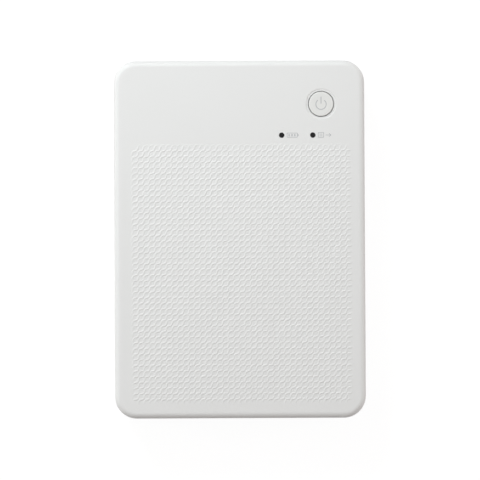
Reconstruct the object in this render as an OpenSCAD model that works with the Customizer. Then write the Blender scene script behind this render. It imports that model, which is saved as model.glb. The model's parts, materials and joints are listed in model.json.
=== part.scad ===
// Compact dye-sublimation photo printer, lying on its feet with the lid shut.
// X runs across the printer, Y from the paper exit to the lid hinge, Z up.

/* [Housing] */
// Width of the housing
body_w = 102.2; // [100:0.2:108]
// Length of the housing
body_l = 145.8; // [144:0.2:154]
// Height from the table to the top face
body_h = 32.6; // [32.4:0.1:37]
// Plan radius of the four corners
corner_r = 9; // [7:0.5:12]
// Roundness of the top edge
top_edge_r = 2.4; // [1.8:0.1:2.8]
// Roundness of the bottom edge
bottom_edge_r = 3; // [2:0.1:3.2]
// Thickness of the housing walls
wall = 2; // [1.6:0.1:2.2]
// Height of the seam between base and lid
seam_z = 23; // [22.6:0.1:23.4]
// Gap at the seam
seam_gap = 0.3; // [0.2:0.05:0.5]
// Height of the lip inside the seam
lip_h = 1; // [0.6:0.1:1.2]
// How far the rubber feet stand out
foot_h = 0.8; // [0.5:0.1:1]
// Radius of a rubber foot
foot_r = 5; // [4:0.5:6]

/* [Lid hinge] */
// Radius of the hinge barrel
hinge_r = 3; // [2.6:0.1:3]
// Radius of the hinge pins
hinge_pin_r = 1; // [0.8:0.1:1.2]
// Length of each fixed knuckle
knuckle_l = 9.4; // [7:0.2:12]
// Distance of a fixed knuckle from the middle
knuckle_x = 25; // [20:0.5:30]
// Largest lid opening in degrees
lid_open = 70; // [60:1:70]

/* [Power button] */
// Distance of the button from the right side
button_side = 17.7; // [17:0.1:20]
// Distance of the button from the hinge end
button_inset = 17.9; // [17:0.1:22]
// Radius of the button cap
button_r = 5; // [4.5:0.1:5.5]
// Gap round the button cap
button_gap = 0.3; // [0.25:0.05:0.5]
// How far the button cap stands above the lid
button_rise = 0.15; // [0.1:0.05:0.4]
// Depth of the hollow in the button cap
cap_hollow = 0.12; // [0.05:0.01:0.2]
// Width of the dished ring round the button
dish_w = 1; // [0.5:0.05:1]
// Depth of the dished ring
dish_d = 0.25; // [0.2:0.05:0.5]
// Width of the sloping side of the dished ring
dish_slope = 0.3; // [0.1:0.05:0.6]
// Button travel
button_travel = 0.5; // [0.3:0.05:0.6]

/* [Lamps] */
// Radius of a lamp window
lamp_r = 1.1; // [0.8:0.1:1.2]
// Distance of the left lamp from the right side
lamp_a_side = 33.8; // [32:0.1:35]
// Distance of the right lamp from the right side
lamp_b_side = 21.1; // [20:0.1:24]
// Distance of the lamps from the hinge end
lamp_inset = 30.6; // [29:0.1:32]

/* [Paper] */
// Room from the edge of the paper to the outside of the housing
side_room = 15.1; // [15:0.1:16]
// Room from the end of the paper to the hinge end of the housing
rear_room = 7.7; // [7.6:0.1:9]
// Height of a full stack
stack_h = 3; // [1.5:0.1:3.2]
// Height of the paper path above the table
path_z = 19; // [18.9:0.1:19.2]
// Clearance round the paper
paper_gap = 0.5; // [0.3:0.1:0.6]
// Thickness of the paper well
well_t = 1; // [0.8:0.1:1.2]

/* [Print line] */
// Distance from the front face to the print line
print_run = 27.9; // [27.5:0.1:28.5]
// Distance from the print line to the feed rollers
feed_run = 21.3; // [21:0.1:21.5]
// Radius of the platen roller
platen_r = 4.5; // [4:0.1:4.6]
// Radius of the capstan
capstan_r = 3; // [2.6:0.1:3]
// Radius of the pinch roller
pinch_r = 2.5; // [2.2:0.1:2.6]
// Radius of the pickup roller
pickup_r = 5; // [4.6:0.1:5]
// Running gap between a roller and the paper path
nip_gap = 0.2; // [0.1:0.05:0.3]
// Radius of the platen and pickup shafts
shaft_r = 1.5; // [1.2:0.1:1.6]

/* [Ribbon cassette] */
// Outer radius of a ribbon tube
tube_r = 6.3; // [6:0.1:6.3]
// Wall of a ribbon tube
tube_t = 1; // [0.8:0.1:1.1]
// Room for the print head between the tubes
head_room = 10; // [9.6:0.1:10.4]
// Height of the tube centres
tube_z = 11; // [10.9:0.1:11.1]
// Radius of the ribbon wound on the supply spool
supply_roll_r = 4.6; // [3.4:0.1:4.8]
// Radius of the ribbon wound on the take-up spool
takeup_roll_r = 3.4; // [3:0.1:4.6]

/* [Chassis] */
// Distance of the side plates from the outside of the housing
plate_inset = 8.6; // [8.1:0.1:8.8]
// Thickness of the sheet steel
sheet_t = 1; // [0.8:0.1:1.2]
// Length of the head levers
lever_l = 16.5; // [16:0.1:17]

/* [Gears] */
// Tooth module
gear_m = 0.5; // [0.48:0.01:0.52]
// Gear face width
gear_w = 2.4; // [2:0.1:3]
// Gap between the teeth of a meshing pair
backlash = 0.12; // [0.08:0.01:0.2]

/* [Side door] */
// Width of the cassette door
door_w = 40.8; // [40:0.1:41]
// Height of the top of the cassette door
door_top = 18.6; // [18:0.1:19]
// Height of the bottom of the cassette door
door_bottom = 4.2; // [4:0.1:4.4]
// Radius of the door barrel
door_barrel_r = 1.5; // [1.3:0.1:1.5]
// Gap round the door
door_gap = 0.3; // [0.2:0.05:0.4]

/* [Charging port] */
// Width of the port opening
port_w = 9; // [8.8:0.1:9.4]
// Height of the port opening
port_h = 3.2; // [3:0.1:3.4]
// Port place along the side, from the hinge end
port_inset = 31; // [29:0.5:33]

/* [Hidden] */
$fn = 64;
tiny = 0.01;
run = 0.05;
fit = 0.02;
rest_gap = 0.25;

front_y = -body_l / 2;
rear_y = body_l / 2;
side_x = body_w / 2;
floor_z = foot_h + wall;
top_z = body_h - button_rise;
ceiling_z = top_z - wall;
lid_z = seam_z + seam_gap;
lip_gap = 0.2;

plate_x = side_x - plate_inset;
paper_w = body_w - 2 * side_room;
button_x = side_x - button_side;
lamp_a_x = side_x - lamp_a_side;
lamp_b_x = side_x - lamp_b_side;

hinge_y = rear_y - hinge_r;
hinge_sweep = hinge_r / cos(lid_open / 2) + 0.15;
hinge_span = side_x - 1.4;
knuckle_in = knuckle_x - knuckle_l / 2;
knuckle_out = knuckle_x + knuckle_l / 2;
knuckle_gap = 0.3;

head_y = front_y + print_run;
tube_dy = head_room / 2 + tube_r;
supply_y = head_y + tube_dy;
takeup_y = head_y - tube_dy;
platen_z = path_z + nip_gap + platen_r;
feed_y = head_y + feed_run;
capstan_z = path_z - nip_gap - capstan_r;
pinch_z = path_z + nip_gap + pinch_r;

well_y0 = feed_y + capstan_r + 0.4;
paper_l = rear_y - rear_room - well_y0 - paper_gap;
well_w = paper_w + 2 * paper_gap;
well_l = paper_l + 2 * paper_gap;
stack_z = path_z - stack_h;
well_z = stack_z - well_t;
well_top = seam_z - 1;
pickup_y = well_y0 + 10.5;
pickup_z = stack_z - nip_gap - pickup_r;
tower_x = well_w / 2 + 4;
ear_t = 1.4;
tower_y = [well_y0 + 30.5, well_y0 + well_l - 5.5];

plate_out = plate_x + sheet_t;
plate_top = ceiling_z - 1.85;
cover_t = 1;
gear_x1 = -plate_out - 0.8;
gear_x0 = gear_x1 - gear_w;

button_y = rear_y - button_inset;
lamp_y = rear_y - lamp_inset;
button_top = body_h;
liner_z = ceiling_z - 5.6;
board_t = 1;
lid_board_z = ceiling_z - 3.6;
switch_top = lid_board_z + board_t + 1.2;
cap_bottom = switch_top + button_travel + 0.05;

// ---- gear train, seen along X as points [y, z] ----

platen_teeth = 22;
capstan_teeth = 16;
pickup_teeth = 26;
pinion_teeth = 10;
small_idler_teeth = 12;
idler_teeth = 14;
takeup_teeth = 20;

function pitch_r(teeth) = gear_m * teeth / 2;
function reach(za, zb) = pitch_r(za) + pitch_r(zb);
function bearing(a, b) = atan2(b[1] - a[1], b[0] - a[0]);

// The point at distance da from a and db from b, on the given side of the line from a to b.
function meet(a, b, da, db, side) =
    let (d = norm(b - a), along = (da * da - db * db + d * d) / (2 * d),
         off = side * sqrt(da * da - along * along), u = (b - a) / d)
    a + along * u + off * [-u[1], u[0]];

// Turn of a gear whose teeth fall into the gaps of its neighbour.
function mesh_turn(a, b, turn_a, za, zb) =
    bearing(a, b) + 180 - 180 / zb + (bearing(a, b) - turn_a) * za / zb;

platen_at = [head_y, platen_z];
capstan_at = [feed_y, capstan_z];
pickup_at = [pickup_y, pickup_z];
takeup_at = [takeup_y, tube_z];
supply_at = [supply_y, tube_z];

feed_idler_angle = 150;
feed_idler_at = capstan_at
    + reach(capstan_teeth, idler_teeth) * [cos(feed_idler_angle), sin(feed_idler_angle)];
platen_idler_at = meet(feed_idler_at, platen_at,
    reach(idler_teeth, idler_teeth), reach(idler_teeth, platen_teeth), -1);
pickup_idler_at = meet(capstan_at, pickup_at,
    reach(capstan_teeth, small_idler_teeth), reach(small_idler_teeth, pickup_teeth), -1);
ribbon_idler_at = meet(platen_at, takeup_at,
    reach(platen_teeth, idler_teeth), reach(idler_teeth, takeup_teeth), -1);
motor_angle = -8;
motor_at = pickup_at + reach(pickup_teeth, pinion_teeth) * [cos(motor_angle), sin(motor_angle)];

platen_turn = 0;
platen_idler_turn = mesh_turn(platen_at, platen_idler_at, platen_turn, platen_teeth, idler_teeth);
feed_idler_turn = mesh_turn(platen_idler_at, feed_idler_at, platen_idler_turn,
    idler_teeth, idler_teeth);
capstan_turn = mesh_turn(feed_idler_at, capstan_at, feed_idler_turn, idler_teeth, capstan_teeth);
pickup_idler_turn = mesh_turn(capstan_at, pickup_idler_at, capstan_turn,
    capstan_teeth, small_idler_teeth);
pickup_turn = mesh_turn(pickup_idler_at, pickup_at, pickup_idler_turn,
    small_idler_teeth, pickup_teeth);
pinion_turn = mesh_turn(pickup_at, motor_at, pickup_turn, pickup_teeth, pinion_teeth);
ribbon_idler_turn = mesh_turn(platen_at, ribbon_idler_at, platen_turn,
    platen_teeth, idler_teeth);
takeup_turn = mesh_turn(ribbon_idler_at, takeup_at, ribbon_idler_turn,
    idler_teeth, takeup_teeth);

stud_r = 1;
stud_places = [feed_idler_at, platen_idler_at, pickup_idler_at, ribbon_idler_at];
lever_at = [head_y - lever_l, path_z + 1];

motor_r = 5.5;
motor_l = 22;
motor_boss_r = 2.4;

door_axis_x = side_x - door_barrel_r;
door_y0 = head_y - tube_dy - tube_r - 1.3;
door_y1 = door_y0 + door_w;
door_axis_y = door_y1 - door_barrel_r;
door_pin_r = 0.6;
door_sweep = door_barrel_r / cos(45) + 0.15;

port_y = rear_y - port_inset;
post_top = floor_z + 2.2;
port_z = post_top + board_t + port_h / 2 - 0.05;
board_x0 = -plate_x + 6;
board_x1 = -4;
board_y0 = well_y0 + 33;
board_y1 = rear_y - 9;
board_posts = [for (x = [board_x0 + 3, board_x1 - 3], y = [board_y0 + 3, board_y1 - 3]) [x, y]];
battery_size = [31, well_l - 30, 8];
battery_at = [tower_x - battery_size[0] / 2 - 5.5, well_y0 + 24 + battery_size[1] / 2];
board_screw_l = 3;
well_screw_l = 5;

slot_z = path_z;
slot_h = 2;
slot_w = paper_w + 2;

latch_travel = 3;
latch_x = 13;
latch_t = 1;
latch_gap = 1.7;
latch_y = front_y + wall + latch_gap;

// ---- shared shapes ----

module rounded_rect(w, l, r) {
    square([w - 2 * r, l], center = true);
    square([w, l - 2 * r], center = true);
    for (x = [-1, 1], y = [-1, 1])
        translate([x * (w / 2 - r), y * (l / 2 - r)]) circle(r);
}

module block(x0, x1, y0, y1, z0, z1) {
    translate([x0, y0, z0]) cube([x1 - x0, y1 - y0, z1 - z0]);
}

module x_rod(r, x0, x1, at) {
    translate([x0, at[0], at[1]]) rotate([0, 90, 0]) cylinder(h = x1 - x0, r = r);
}

module x_prism(x0, x1) {
    translate([x0, 0, 0]) rotate([90, 0, 90]) linear_extrude(x1 - x0) children();
}

// Section of a housing half, measured out from the centre of a plan corner.
module half_section(h, edge) {
    inner = edge - wall;
    difference() {
        section_outline(corner_r, h, edge);
        translate([-tiny, wall])
            section_outline(corner_r - wall + tiny, h, max(inner, 0.2));
    }
}

module section_outline(w, h, edge) {
    square([w - edge, h]);
    translate([0, edge]) square([w, h - edge]);
    translate([w - edge, edge]) circle(edge);
}

// A shallow rounded tray: its section runs straight along the sides and turns at the corners.
module tray(w, l, h, edge) {
    long = l - 2 * corner_r;
    wide = w - 2 * corner_r;
    block(-wide / 2, wide / 2, -long / 2, long / 2, 0, wall);
    for (turn = [0, 180]) rotate(turn) {
        translate([wide / 2, long / 2, 0]) rotate([90, 0, 0]) linear_extrude(long)
            half_section(h, edge);
        translate([-wide / 2, long / 2, 0]) rotate([90, 0, 90]) linear_extrude(wide)
            half_section(h, edge);
    }
    for (x = [0, 1], y = [0, 1]) mirror([x, 0, 0]) mirror([0, y, 0])
        translate([wide / 2, long / 2, 0]) rotate_extrude(angle = 90) half_section(h, edge);
}

// Half of one involute tooth: angle from the tooth middle at a given radius.
pressure_angle = 20;
function roll(r, base_r) = r <= base_r ? 0
    : tan(acos(base_r / r)) * 180 / PI - acos(base_r / r);
function tooth_half(teeth, r) =
    let (pr = pitch_r(teeth), br = pr * cos(pressure_angle),
         thick = 90 / teeth - backlash / 4 / pr * 180 / PI)
    thick + roll(pr, br) - roll(r, br);

module gear_outline(teeth) {
    pr = pitch_r(teeth);
    root = pr - 1.25 * gear_m;
    tip = pr + 0.9 * gear_m;
    start = max(root + 0.1, pr * cos(pressure_angle));
    radii = [root, start, (start + pr) / 2, pr, (pr + tip) / 2, tip];
    n = len(radii) - 1;
    polygon([for (t = [0 : teeth - 1], s = [0 : 2 * n + 1])
        let (k = s <= n ? s : 2 * n + 1 - s, side = s <= n ? -1 : 1,
             a = t * 360 / teeth + side * tooth_half(teeth, radii[k]))
        radii[k] * [cos(a), sin(a)]]);
}

module gear(teeth, at, turn, bore, hub = 2.4) {
    translate([0, at[0], at[1]]) difference() {
        union() {
            x_prism(gear_x0, gear_x1) rotate(turn) gear_outline(teeth);
            x_rod(hub, gear_x0 - 0.4, gear_x1 + 0.3, [0, 0]);
        }
        x_rod(bore, gear_x0 - 1, gear_x1 + 1, [0, 0]);
    }
}

// A wound spring standing on z0, with closed round wire.
module coil(r, wire_r, turns, z0, z1) {
    sides = 6;
    steps = turns * 12;
    rise = (z1 - z0 - 2 * wire_r) / steps;
    points = [for (i = [0 : steps], k = [0 : sides - 1])
        let (a = i * 30, b = k * 360 / sides, d = r + wire_r * cos(b))
        [d * cos(a), d * sin(a), z0 + wire_r + i * rise + wire_r * sin(b)]];
    walls = [for (i = [0 : steps - 1], k = [0 : sides - 1])
        let (j = (k + 1) % sides, p = i * sides)
        [p + k, p + sides + k, p + sides + j, p + j]];
    first = [for (k = [0 : sides - 1]) k];
    last = [for (k = [0 : sides - 1]) (steps + 1) * sides - 1 - k];
    polyhedron(points, concat(walls, [first, last]));
}

// ---- base ----

module base_shell() {
    color("gainsboro") difference() {
        union() {
            difference() {
                translate([0, 0, foot_h]) tray(body_w, body_l, seam_z - foot_h, bottom_edge_r);
                x_rod(hinge_sweep, -hinge_span, hinge_span, [hinge_y, seam_z]);
            }
            for (s = [-1, 1]) knuckle(s);
            for (p = board_posts)
                translate([p[0], p[1], floor_z - tiny])
                    cylinder(h = post_top - floor_z + tiny, r = 2.4);
            for (s = [-1, 1], y = tower_y)
                translate([s * tower_x, y, floor_z - tiny])
                    cylinder(h = well_z - floor_z + tiny, r = 3);
            battery_ribs();
            door_bosses();
            seam_lip(0, lip_h);
        }
        for (p = board_posts)
            translate([p[0], p[1], post_top - board_screw_l - 0.3])
                cylinder(h = board_screw_l + 1, r = stud_r + fit);
        for (s = [-1, 1], y = tower_y)
            translate([s * tower_x, y, well_z - well_screw_l - 0.3])
                cylinder(h = well_screw_l + 1, r = stud_r + fit);
        foot_places() translate([0, 0, foot_h - 1]) cylinder(h = 1.4, r = foot_r + fit);
        chassis_screw_places() {
            translate([0, 0, foot_h - 1]) cylinder(h = 2, r = 2.3);
            translate([0, 0, foot_h - 1]) cylinder(h = 4, r = stud_r + run);
        }
        block(-slot_w / 2, slot_w / 2, front_y - 1, front_y + wall + 1,
            slot_z - slot_h / 2, slot_z + slot_h / 2);
        door_opening();
        port_opening();
        for (s = [-1, 1])
            x_rod(hinge_pin_r + fit, s * knuckle_x - knuckle_l / 2 - 1,
                s * knuckle_x + knuckle_l / 2 + 1, [hinge_y, seam_z]);
    }
}

module knuckle(s) {
    x0 = s * knuckle_x - knuckle_l / 2;
    x1 = x0 + knuckle_l;
    x_rod(hinge_r, x0, x1, [hinge_y, seam_z]);
    block(x0, x1, hinge_y - hinge_r, hinge_y, seam_z - hinge_sweep - 2, seam_z);
    block(x0, x1, hinge_y - hinge_r, rear_y - wall / 2,
        seam_z - hinge_sweep - 2, seam_z - hinge_sweep - 0.1);
}

module battery_ribs() {
    half = battery_size / 2;
    for (s = [-1, 1]) {
        x = battery_at[0] + s * (half[0] + rest_gap);
        block(min(x, x + s), max(x, x + s), battery_at[1] - 15, battery_at[1] + 15,
            floor_z - tiny, floor_z + 4);
        y = battery_at[1] + s * (half[1] + rest_gap);
        block(battery_at[0] - 12, battery_at[0] + 12, min(y, y + s), max(y, y + s),
            floor_z - tiny, floor_z + 4);
    }
}

// The lip runs round the inner half of the wall, and stops short of the hinge.
module seam_lip(gap, h) {
    out = wall / 2 + 0.1 - gap;
    intersection() {
        translate([0, 0, seam_z - tiny]) linear_extrude(h + tiny) difference() {
            rounded_rect(body_w - 2 * out, body_l - 2 * out, corner_r - out);
            rounded_rect(body_w - 2 * wall - gap, body_l - 2 * wall - gap, corner_r - wall);
        }
        block(-side_x, side_x, front_y, hinge_y - 12 + gap, seam_z - 1, seam_z + h + 1);
    }
}

module lid_catches() {
    color("silver") for (s = [-1, 1]) {
        x0 = s * latch_x + 4.4;
        block(x0, x0 + 3, front_y + wall, latch_y + latch_t, seam_z - 1.6, seam_z - 0.1);
    }
}

module foot_places() {
    for (x = [-1, 1], y = [-1, 1])
        translate([x * (side_x - 13), y * (body_l / 2 - 15), 0]) children();
}

module chassis_screw_places() {
    for (x = [-1, 1], y = [front_y + 7, feed_y]) translate([x * (plate_x - 5), y, 0]) children();
}

module door_bosses() {
    block(door_axis_x - 2, door_axis_x + 0.6, door_axis_y - 2, door_axis_y + 2,
        floor_z - tiny, door_bottom);
    block(door_axis_x - 2, door_axis_x + 0.6, door_axis_y - 2, door_axis_y + 2,
        door_top, door_top + 2.6);
}

module door_opening() {
    block(side_x - wall - 1, side_x + 1, door_y0, door_axis_y, door_bottom, door_top);
    translate([door_axis_x, door_axis_y, door_bottom])
        cylinder(h = door_top - door_bottom, r = door_sweep);
    translate([door_axis_x, door_axis_y, door_bottom - 2])
        cylinder(h = door_top - door_bottom + 4, r = door_pin_r + fit);
}

module port_opening() {
    translate([-side_x - 1, port_y, port_z]) rotate([90, 0, 90])
        linear_extrude(wall + 2) rounded_rect(port_w, port_h, port_h / 2 - tiny);
    translate([-side_x + wall - 0.2, port_y, port_z]) rotate([90, 0, 90])
        linear_extrude(1) rounded_rect(port_w, port_h, port_h / 2 - tiny);
}

module rubber_feet() {
    ease = 0.4;
    hollow = 0.3;
    color("dimgray") foot_places() difference() {
        union() {
            cylinder(h = ease, r1 = foot_r - ease, r2 = foot_r);
            translate([0, 0, ease - tiny]) cylinder(h = foot_h + 0.4 - ease + tiny, r = foot_r);
        }
        translate([0, 0, -tiny]) cylinder(h = hollow + tiny, r1 = foot_r - 1.4, r2 = foot_r - 1.8);
    }
}

module chassis() {
    pan_y0 = front_y + 4;
    pan_y1 = feed_y + 4;
    color("silver") difference() {
        union() {
            block(-plate_out, plate_out, pan_y0, pan_y1, floor_z, floor_z + sheet_t);
            for (s = [-1, 1]) plate(s);
            for (y = [supply_y, takeup_y])
                for (x = [-plate_x, 12])
                    block(x, x + plate_x - 12, y - 2, y + 2, floor_z + sheet_t - tiny,
                        tube_z - tube_r - 0.2);
        }
        for (s = [-1, 1]) plate_holes(s);
        chassis_screw_places() translate([0, 0, floor_z - 1]) cylinder(h = 3, r = stud_r + fit);
    }
}

module plate(s) {
    x0 = s < 0 ? -plate_out : plate_x;
    x_prism(x0, x0 + sheet_t) polygon([
        [front_y + 7, floor_z],
        [s < 0 ? motor_at[0] + motor_r : pickup_y + 5, floor_z],
        [s < 0 ? motor_at[0] + motor_r : pickup_y + 5, well_z - 0.4],
        [well_y0 - 2, well_z - 0.4],
        [well_y0 - 2, plate_top - 4],
        [well_y0 - 4, plate_top],
        [lever_at[0] - 3, plate_top],
        [front_y + 7, path_z + 4]]);
}

module plate_holes(s) {
    x0 = (s < 0 ? -plate_out : plate_x) - 1;
    x1 = x0 + sheet_t + 2;
    for (at = [platen_at, capstan_at, pickup_at]) x_rod(shaft_r + 1 + fit, x0, x1, at);
    x_rod(1 + run, x0, x1, [feed_y, pinch_z]);
    x_rod(stud_r + fit, x0, x1, lever_at);
    if (s < 0) {
        for (at = stud_places) x_rod(stud_r + fit, x0, x1, at);
        x_rod(motor_boss_r + run, x0, x1, motor_at);
        x_rod(takeup_hub_r + 0.2, x0, x1, takeup_at);
    } else {
        x_prism(x0, x1) cassette_outline(0.5);
    }
}

takeup_hub_r = 2;

// Outline of the ribbon cassette seen from the side, grown by a margin.
module cassette_outline(grow) {
    for (y = [supply_y, takeup_y]) translate([y, tube_z]) circle(tube_r + grow);
    translate([takeup_y, tube_z - tube_r - grow])
        square([2 * tube_dy, tube_r + grow]);
    translate([head_y - head_room / 2 - tube_t, tube_z - tube_r])
        square([head_room + 2 * tube_t, 2 * tube_r + grow]);
}

module chassis_screws() {
    color("gray") chassis_screw_places() {
        translate([0, 0, foot_h + 1 - 0.9]) cylinder(h = 0.9, r = 2);
        translate([0, 0, foot_h + 1 - tiny])
            cylinder(h = wall + sheet_t - 1, r = stud_r);
    }
}

module shaft_bushings() {
    color("goldenrod") for (s = [-1, 1], at = [platen_at, capstan_at, pickup_at])
        difference() {
            union() {
                x_rod(shaft_r + 1, min(s * plate_x, s * plate_out), max(s * plate_x, s * plate_out), at);
                x_rod(shaft_r + 1.6, min(s * plate_x, s * (plate_x - 0.6)),
                    max(s * plate_x, s * (plate_x - 0.6)), at);
            }
            x_rod(shaft_r + run, -plate_out - 1, plate_out + 1, at);
        }
}

module gear_studs() {
    color("gray") for (at = stud_places) {
        x_rod(stud_r, gear_x0 - 0.7, -plate_x, at);
        x_rod(stud_r + 0.6, gear_x0 - 1.1, gear_x0 - 0.5, at);
    }
}

module mechanism_cover() {
    y0 = latch_y + latch_t + latch_gap - 0.2;
    y1 = well_y0 - 0.6;
    color("dimgray") {
        block(-plate_out, plate_out, y0, y1, plate_top, plate_top + cover_t);
        block(-plate_x + 2.5, plate_x - 2.5, y0, y0 + cover_t, path_z + 2.2, plate_top + tiny);
        for (x = [-30 : 10 : 30])
            block(x - 0.5, x + 0.5, y0 + 0.5, y1 - 1, plate_top + cover_t - tiny,
                plate_top + cover_t + 0.4);
    }
}

module exit_guide() {
    y0 = front_y + wall;
    z1 = path_z - 0.4;
    top = z1 - 0.8;
    color("dimgray") {
        block(-paper_w / 2 - 1, paper_w / 2 + 1, y0, head_y - head_room / 2 - 0.5, top, z1);
        block(-plate_x, plate_x, front_y + 7.2, lever_at[0] - 2.4, top, z1);
        for (x = [-30 : 7.5 : 30])
            block(x - 0.4, x + 0.4, y0, head_y - head_room / 2 - 2, z1 - tiny, z1 + 0.2);
    }
}

module paper_well() {
    w = well_w + 2 * well_t;
    y0 = well_y0;
    y1 = well_y0 + well_l + well_t;
    color("gray") difference() {
        union() {
            translate([0, (y0 + y1) / 2, well_z]) linear_extrude(well_top - well_z)
                square([w, y1 - y0], center = true);
            for (s = [-1, 1], y = tower_y)
                translate([0, 0, well_z]) linear_extrude(ear_t) {
                    translate([s * tower_x, y]) circle(3);
                    translate([s * (tower_x + w / 2) / 2, y])
                        square([tower_x - w / 2 + 0.4, 5], center = true);
                }
        }
        block(-well_w / 2, well_w / 2, y0 - 1, y1 - well_t, stack_z, well_top + 1);
        block(-16, 16, pickup_y - 5.5, pickup_y + 5.5, well_z - 1, stack_z + 1);
        for (s = [-1, 1])
            translate([s * well_w / 2, well_y0 + well_l / 2, path_z - 1]) cylinder(h = 9, r = 9);
        for (s = [-1, 1], y = tower_y)
            translate([s * tower_x, y, well_z - 1]) cylinder(h = 4, r = stud_r + run);
    }
}

module paper_stack() {
    color("white") block(-paper_w / 2, paper_w / 2, well_y0 + paper_gap,
        well_y0 + paper_gap + paper_l, stack_z, path_z);
}

// ---- ribbon cassette ----

tube_x0 = -plate_x + 1.5;
tube_x1 = plate_x - 1;
spool_r = 2.6;
slot_angle = 45;
slot_spread = 14;
journal_r = 1.6;

module ribbon_cassette() {
    bar_z = tube_z - tube_r + tiny;
    grip_x = tube_x1 + 4.1;
    color("lightgray") difference() {
        union() {
            for (y = [supply_y, takeup_y]) x_rod(tube_r, tube_x0, tube_x1, [y, tube_z]);
            for (x = [tube_x0, tube_x1 - 6])
                block(x, x + 6, takeup_y, supply_y, bar_z, bar_z + 0.8);
            block(tube_x1 - tiny, grip_x, head_y - 7, head_y + 7, bar_z, bar_z + 0.8);
            block(grip_x - 0.8, grip_x, head_y - 7, head_y + 7, bar_z, bar_z + 4.5);
        }
        for (y = [supply_y, takeup_y]) {
            x_rod(tube_r - tube_t, tube_x0 + 1.2, tube_x1 - 1.2, [y, tube_z]);
            x_rod(journal_r + 0.1, tube_x0 - 1, tube_x1 + 1, [y, tube_z]);
            s = y < head_y ? 1 : -1;
            x_prism(-paper_w / 2 - 1, paper_w / 2 + 1) translate([y, tube_z]) polygon(
                [[0, 0], for (a = [-slot_spread, slot_spread])
                    1.3 * tube_r * [s * cos(slot_angle + a), sin(slot_angle + a)]]);
        }
    }
}

module spool(at) {
    x_rod(spool_r, tube_x0 + 1.5, tube_x1 - 1.5, at);
    x_rod(journal_r, tube_x0 - 0.4, tube_x1, at);
    for (x = [-paper_w / 2 - 2, paper_w / 2 + 1.2])
        x_rod(tube_r - tube_t - 0.3, x, x + 0.8, at);
}

module supply_spool() {
    color("lightgray") spool(supply_at);
}

module takeup_spool() {
    color("lightgray") {
        spool(takeup_at);
        x_rod(1.2, gear_x0 - 0.6, tube_x0 - 0.2, takeup_at);
    }
}

module wound(at, r) {
    difference() {
        x_rod(r, -paper_w / 2, paper_w / 2, at);
        x_rod(spool_r, -paper_w, paper_w, at);
    }
}

module supply_ribbon() {
    color("purple") wound(supply_at, supply_roll_r);
}

module takeup_ribbon() {
    color("purple") wound(takeup_at, takeup_roll_r);
}

// The film runs from one tube over the head line to the other.
module ribbon_film() {
    top = path_z - 0.1;
    film_t = 0.12;
    half = 3;
    dip = tube_z + 0.62 * tube_r;
    color("purple") x_prism(-paper_w / 2 + 0.5, paper_w / 2 - 0.5)
        polygon([[takeup_y + 0.62 * tube_r, dip], [head_y - half, top], [head_y + half, top],
            [supply_y - 0.62 * tube_r, dip], [supply_y - 0.62 * tube_r, dip - film_t],
            [head_y + half, top - film_t], [head_y - half, top - film_t],
            [takeup_y + 0.62 * tube_r, dip - film_t]]);
}

// ---- electrics ----

module drive_motor() {
    color("silver") {
        intersection() {
            x_rod(motor_r, -plate_x, -plate_x + motor_l, motor_at);
            block(-body_w, 0, motor_at[0] - motor_r, motor_at[0] + motor_r,
                motor_at[1] - motor_r + 1, motor_at[1] + motor_r - 1);
        }
        difference() {
            x_rod(motor_boss_r, -plate_out, -plate_x + 1, motor_at);
            x_rod(1, -plate_out - 1, -plate_x - 0.1, motor_at);
        }
        cap_x = -plate_x + motor_l;
        x_rod(motor_r - 1.2, cap_x - tiny, cap_x + 1.6, motor_at);
        x_rod(2, cap_x, cap_x + 2.6, motor_at);
        for (s = [-1, 1])
            block(cap_x + 1, cap_x + 4, motor_at[0] + s * 4 - 0.8, motor_at[0] + s * 4 + 0.8,
                motor_at[1] - 0.2, motor_at[1] + 0.2);
    }
}

module main_board() {
    color("darkgreen") translate([0, 0, post_top]) difference() {
        linear_extrude(board_t) {
            translate([board_x0, board_y0]) square([board_x1 - board_x0, board_y1 - board_y0]);
            translate([-side_x + wall + 1, port_y - 9])
                square([board_x0 + side_x - wall - 1 + tiny, 18]);
        }
        for (p = board_posts)
            translate([p[0], p[1], -1]) cylinder(h = board_t + 2, r = stud_r + run);
    }
}

module board_chips() {
    z = post_top + board_t;
    color("black") {
        block(board_x0 + 9, board_x0 + 19, board_y0 + 18, board_y0 + 28, z, z + 1);
        block(board_x0 + 22, board_x0 + 28, board_y0 + 20, board_y0 + 26, z, z + 1.2);
        block(board_x0 + 10, board_x0 + 20, board_y1 - 17.2, board_y1 - 11.2, z, z + 1);
        block(board_x1 - 8, board_x1 - 2, board_y0 + 8, board_y0 + 12, z, z + 2.6);
        for (y = [10, 13.5])
            block(board_x0 + 10, board_x0 + 15, board_y0 + y, board_y0 + y + 2.4, z, z + 1.8);
    }
}

module case_screw(l) {
    cylinder(h = 0.9, r = 1.9);
    translate([0, 0, -l]) cylinder(h = l + tiny, r = stud_r);
}

module case_screws() {
    color("gray") {
        for (p = board_posts)
            translate([p[0], p[1], post_top + board_t]) case_screw(board_t + board_screw_l);
        for (s = [-1, 1], y = tower_y)
            translate([s * tower_x, y, well_z + ear_t]) case_screw(ear_t + well_screw_l);
    }
}

module charging_port() {
    x0 = -side_x + 0.6;
    color("silver") translate([0, port_y, port_z]) {
        difference() {
            translate([x0, 0, 0]) rotate([90, 0, 90]) linear_extrude(7)
                rounded_rect(port_w - 0.1, port_h - 0.1, port_h / 2 - 0.06);
            translate([x0 - 1, 0, 0]) rotate([90, 0, 90]) linear_extrude(7)
                rounded_rect(port_w - 0.7, port_h - 0.7, port_h / 2 - 0.36);
        }
        translate([x0 + 0.8, -port_w / 2 + 1.4, -0.35]) cube([5.5, port_w - 2.8, 0.7]);
    }
}

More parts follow.
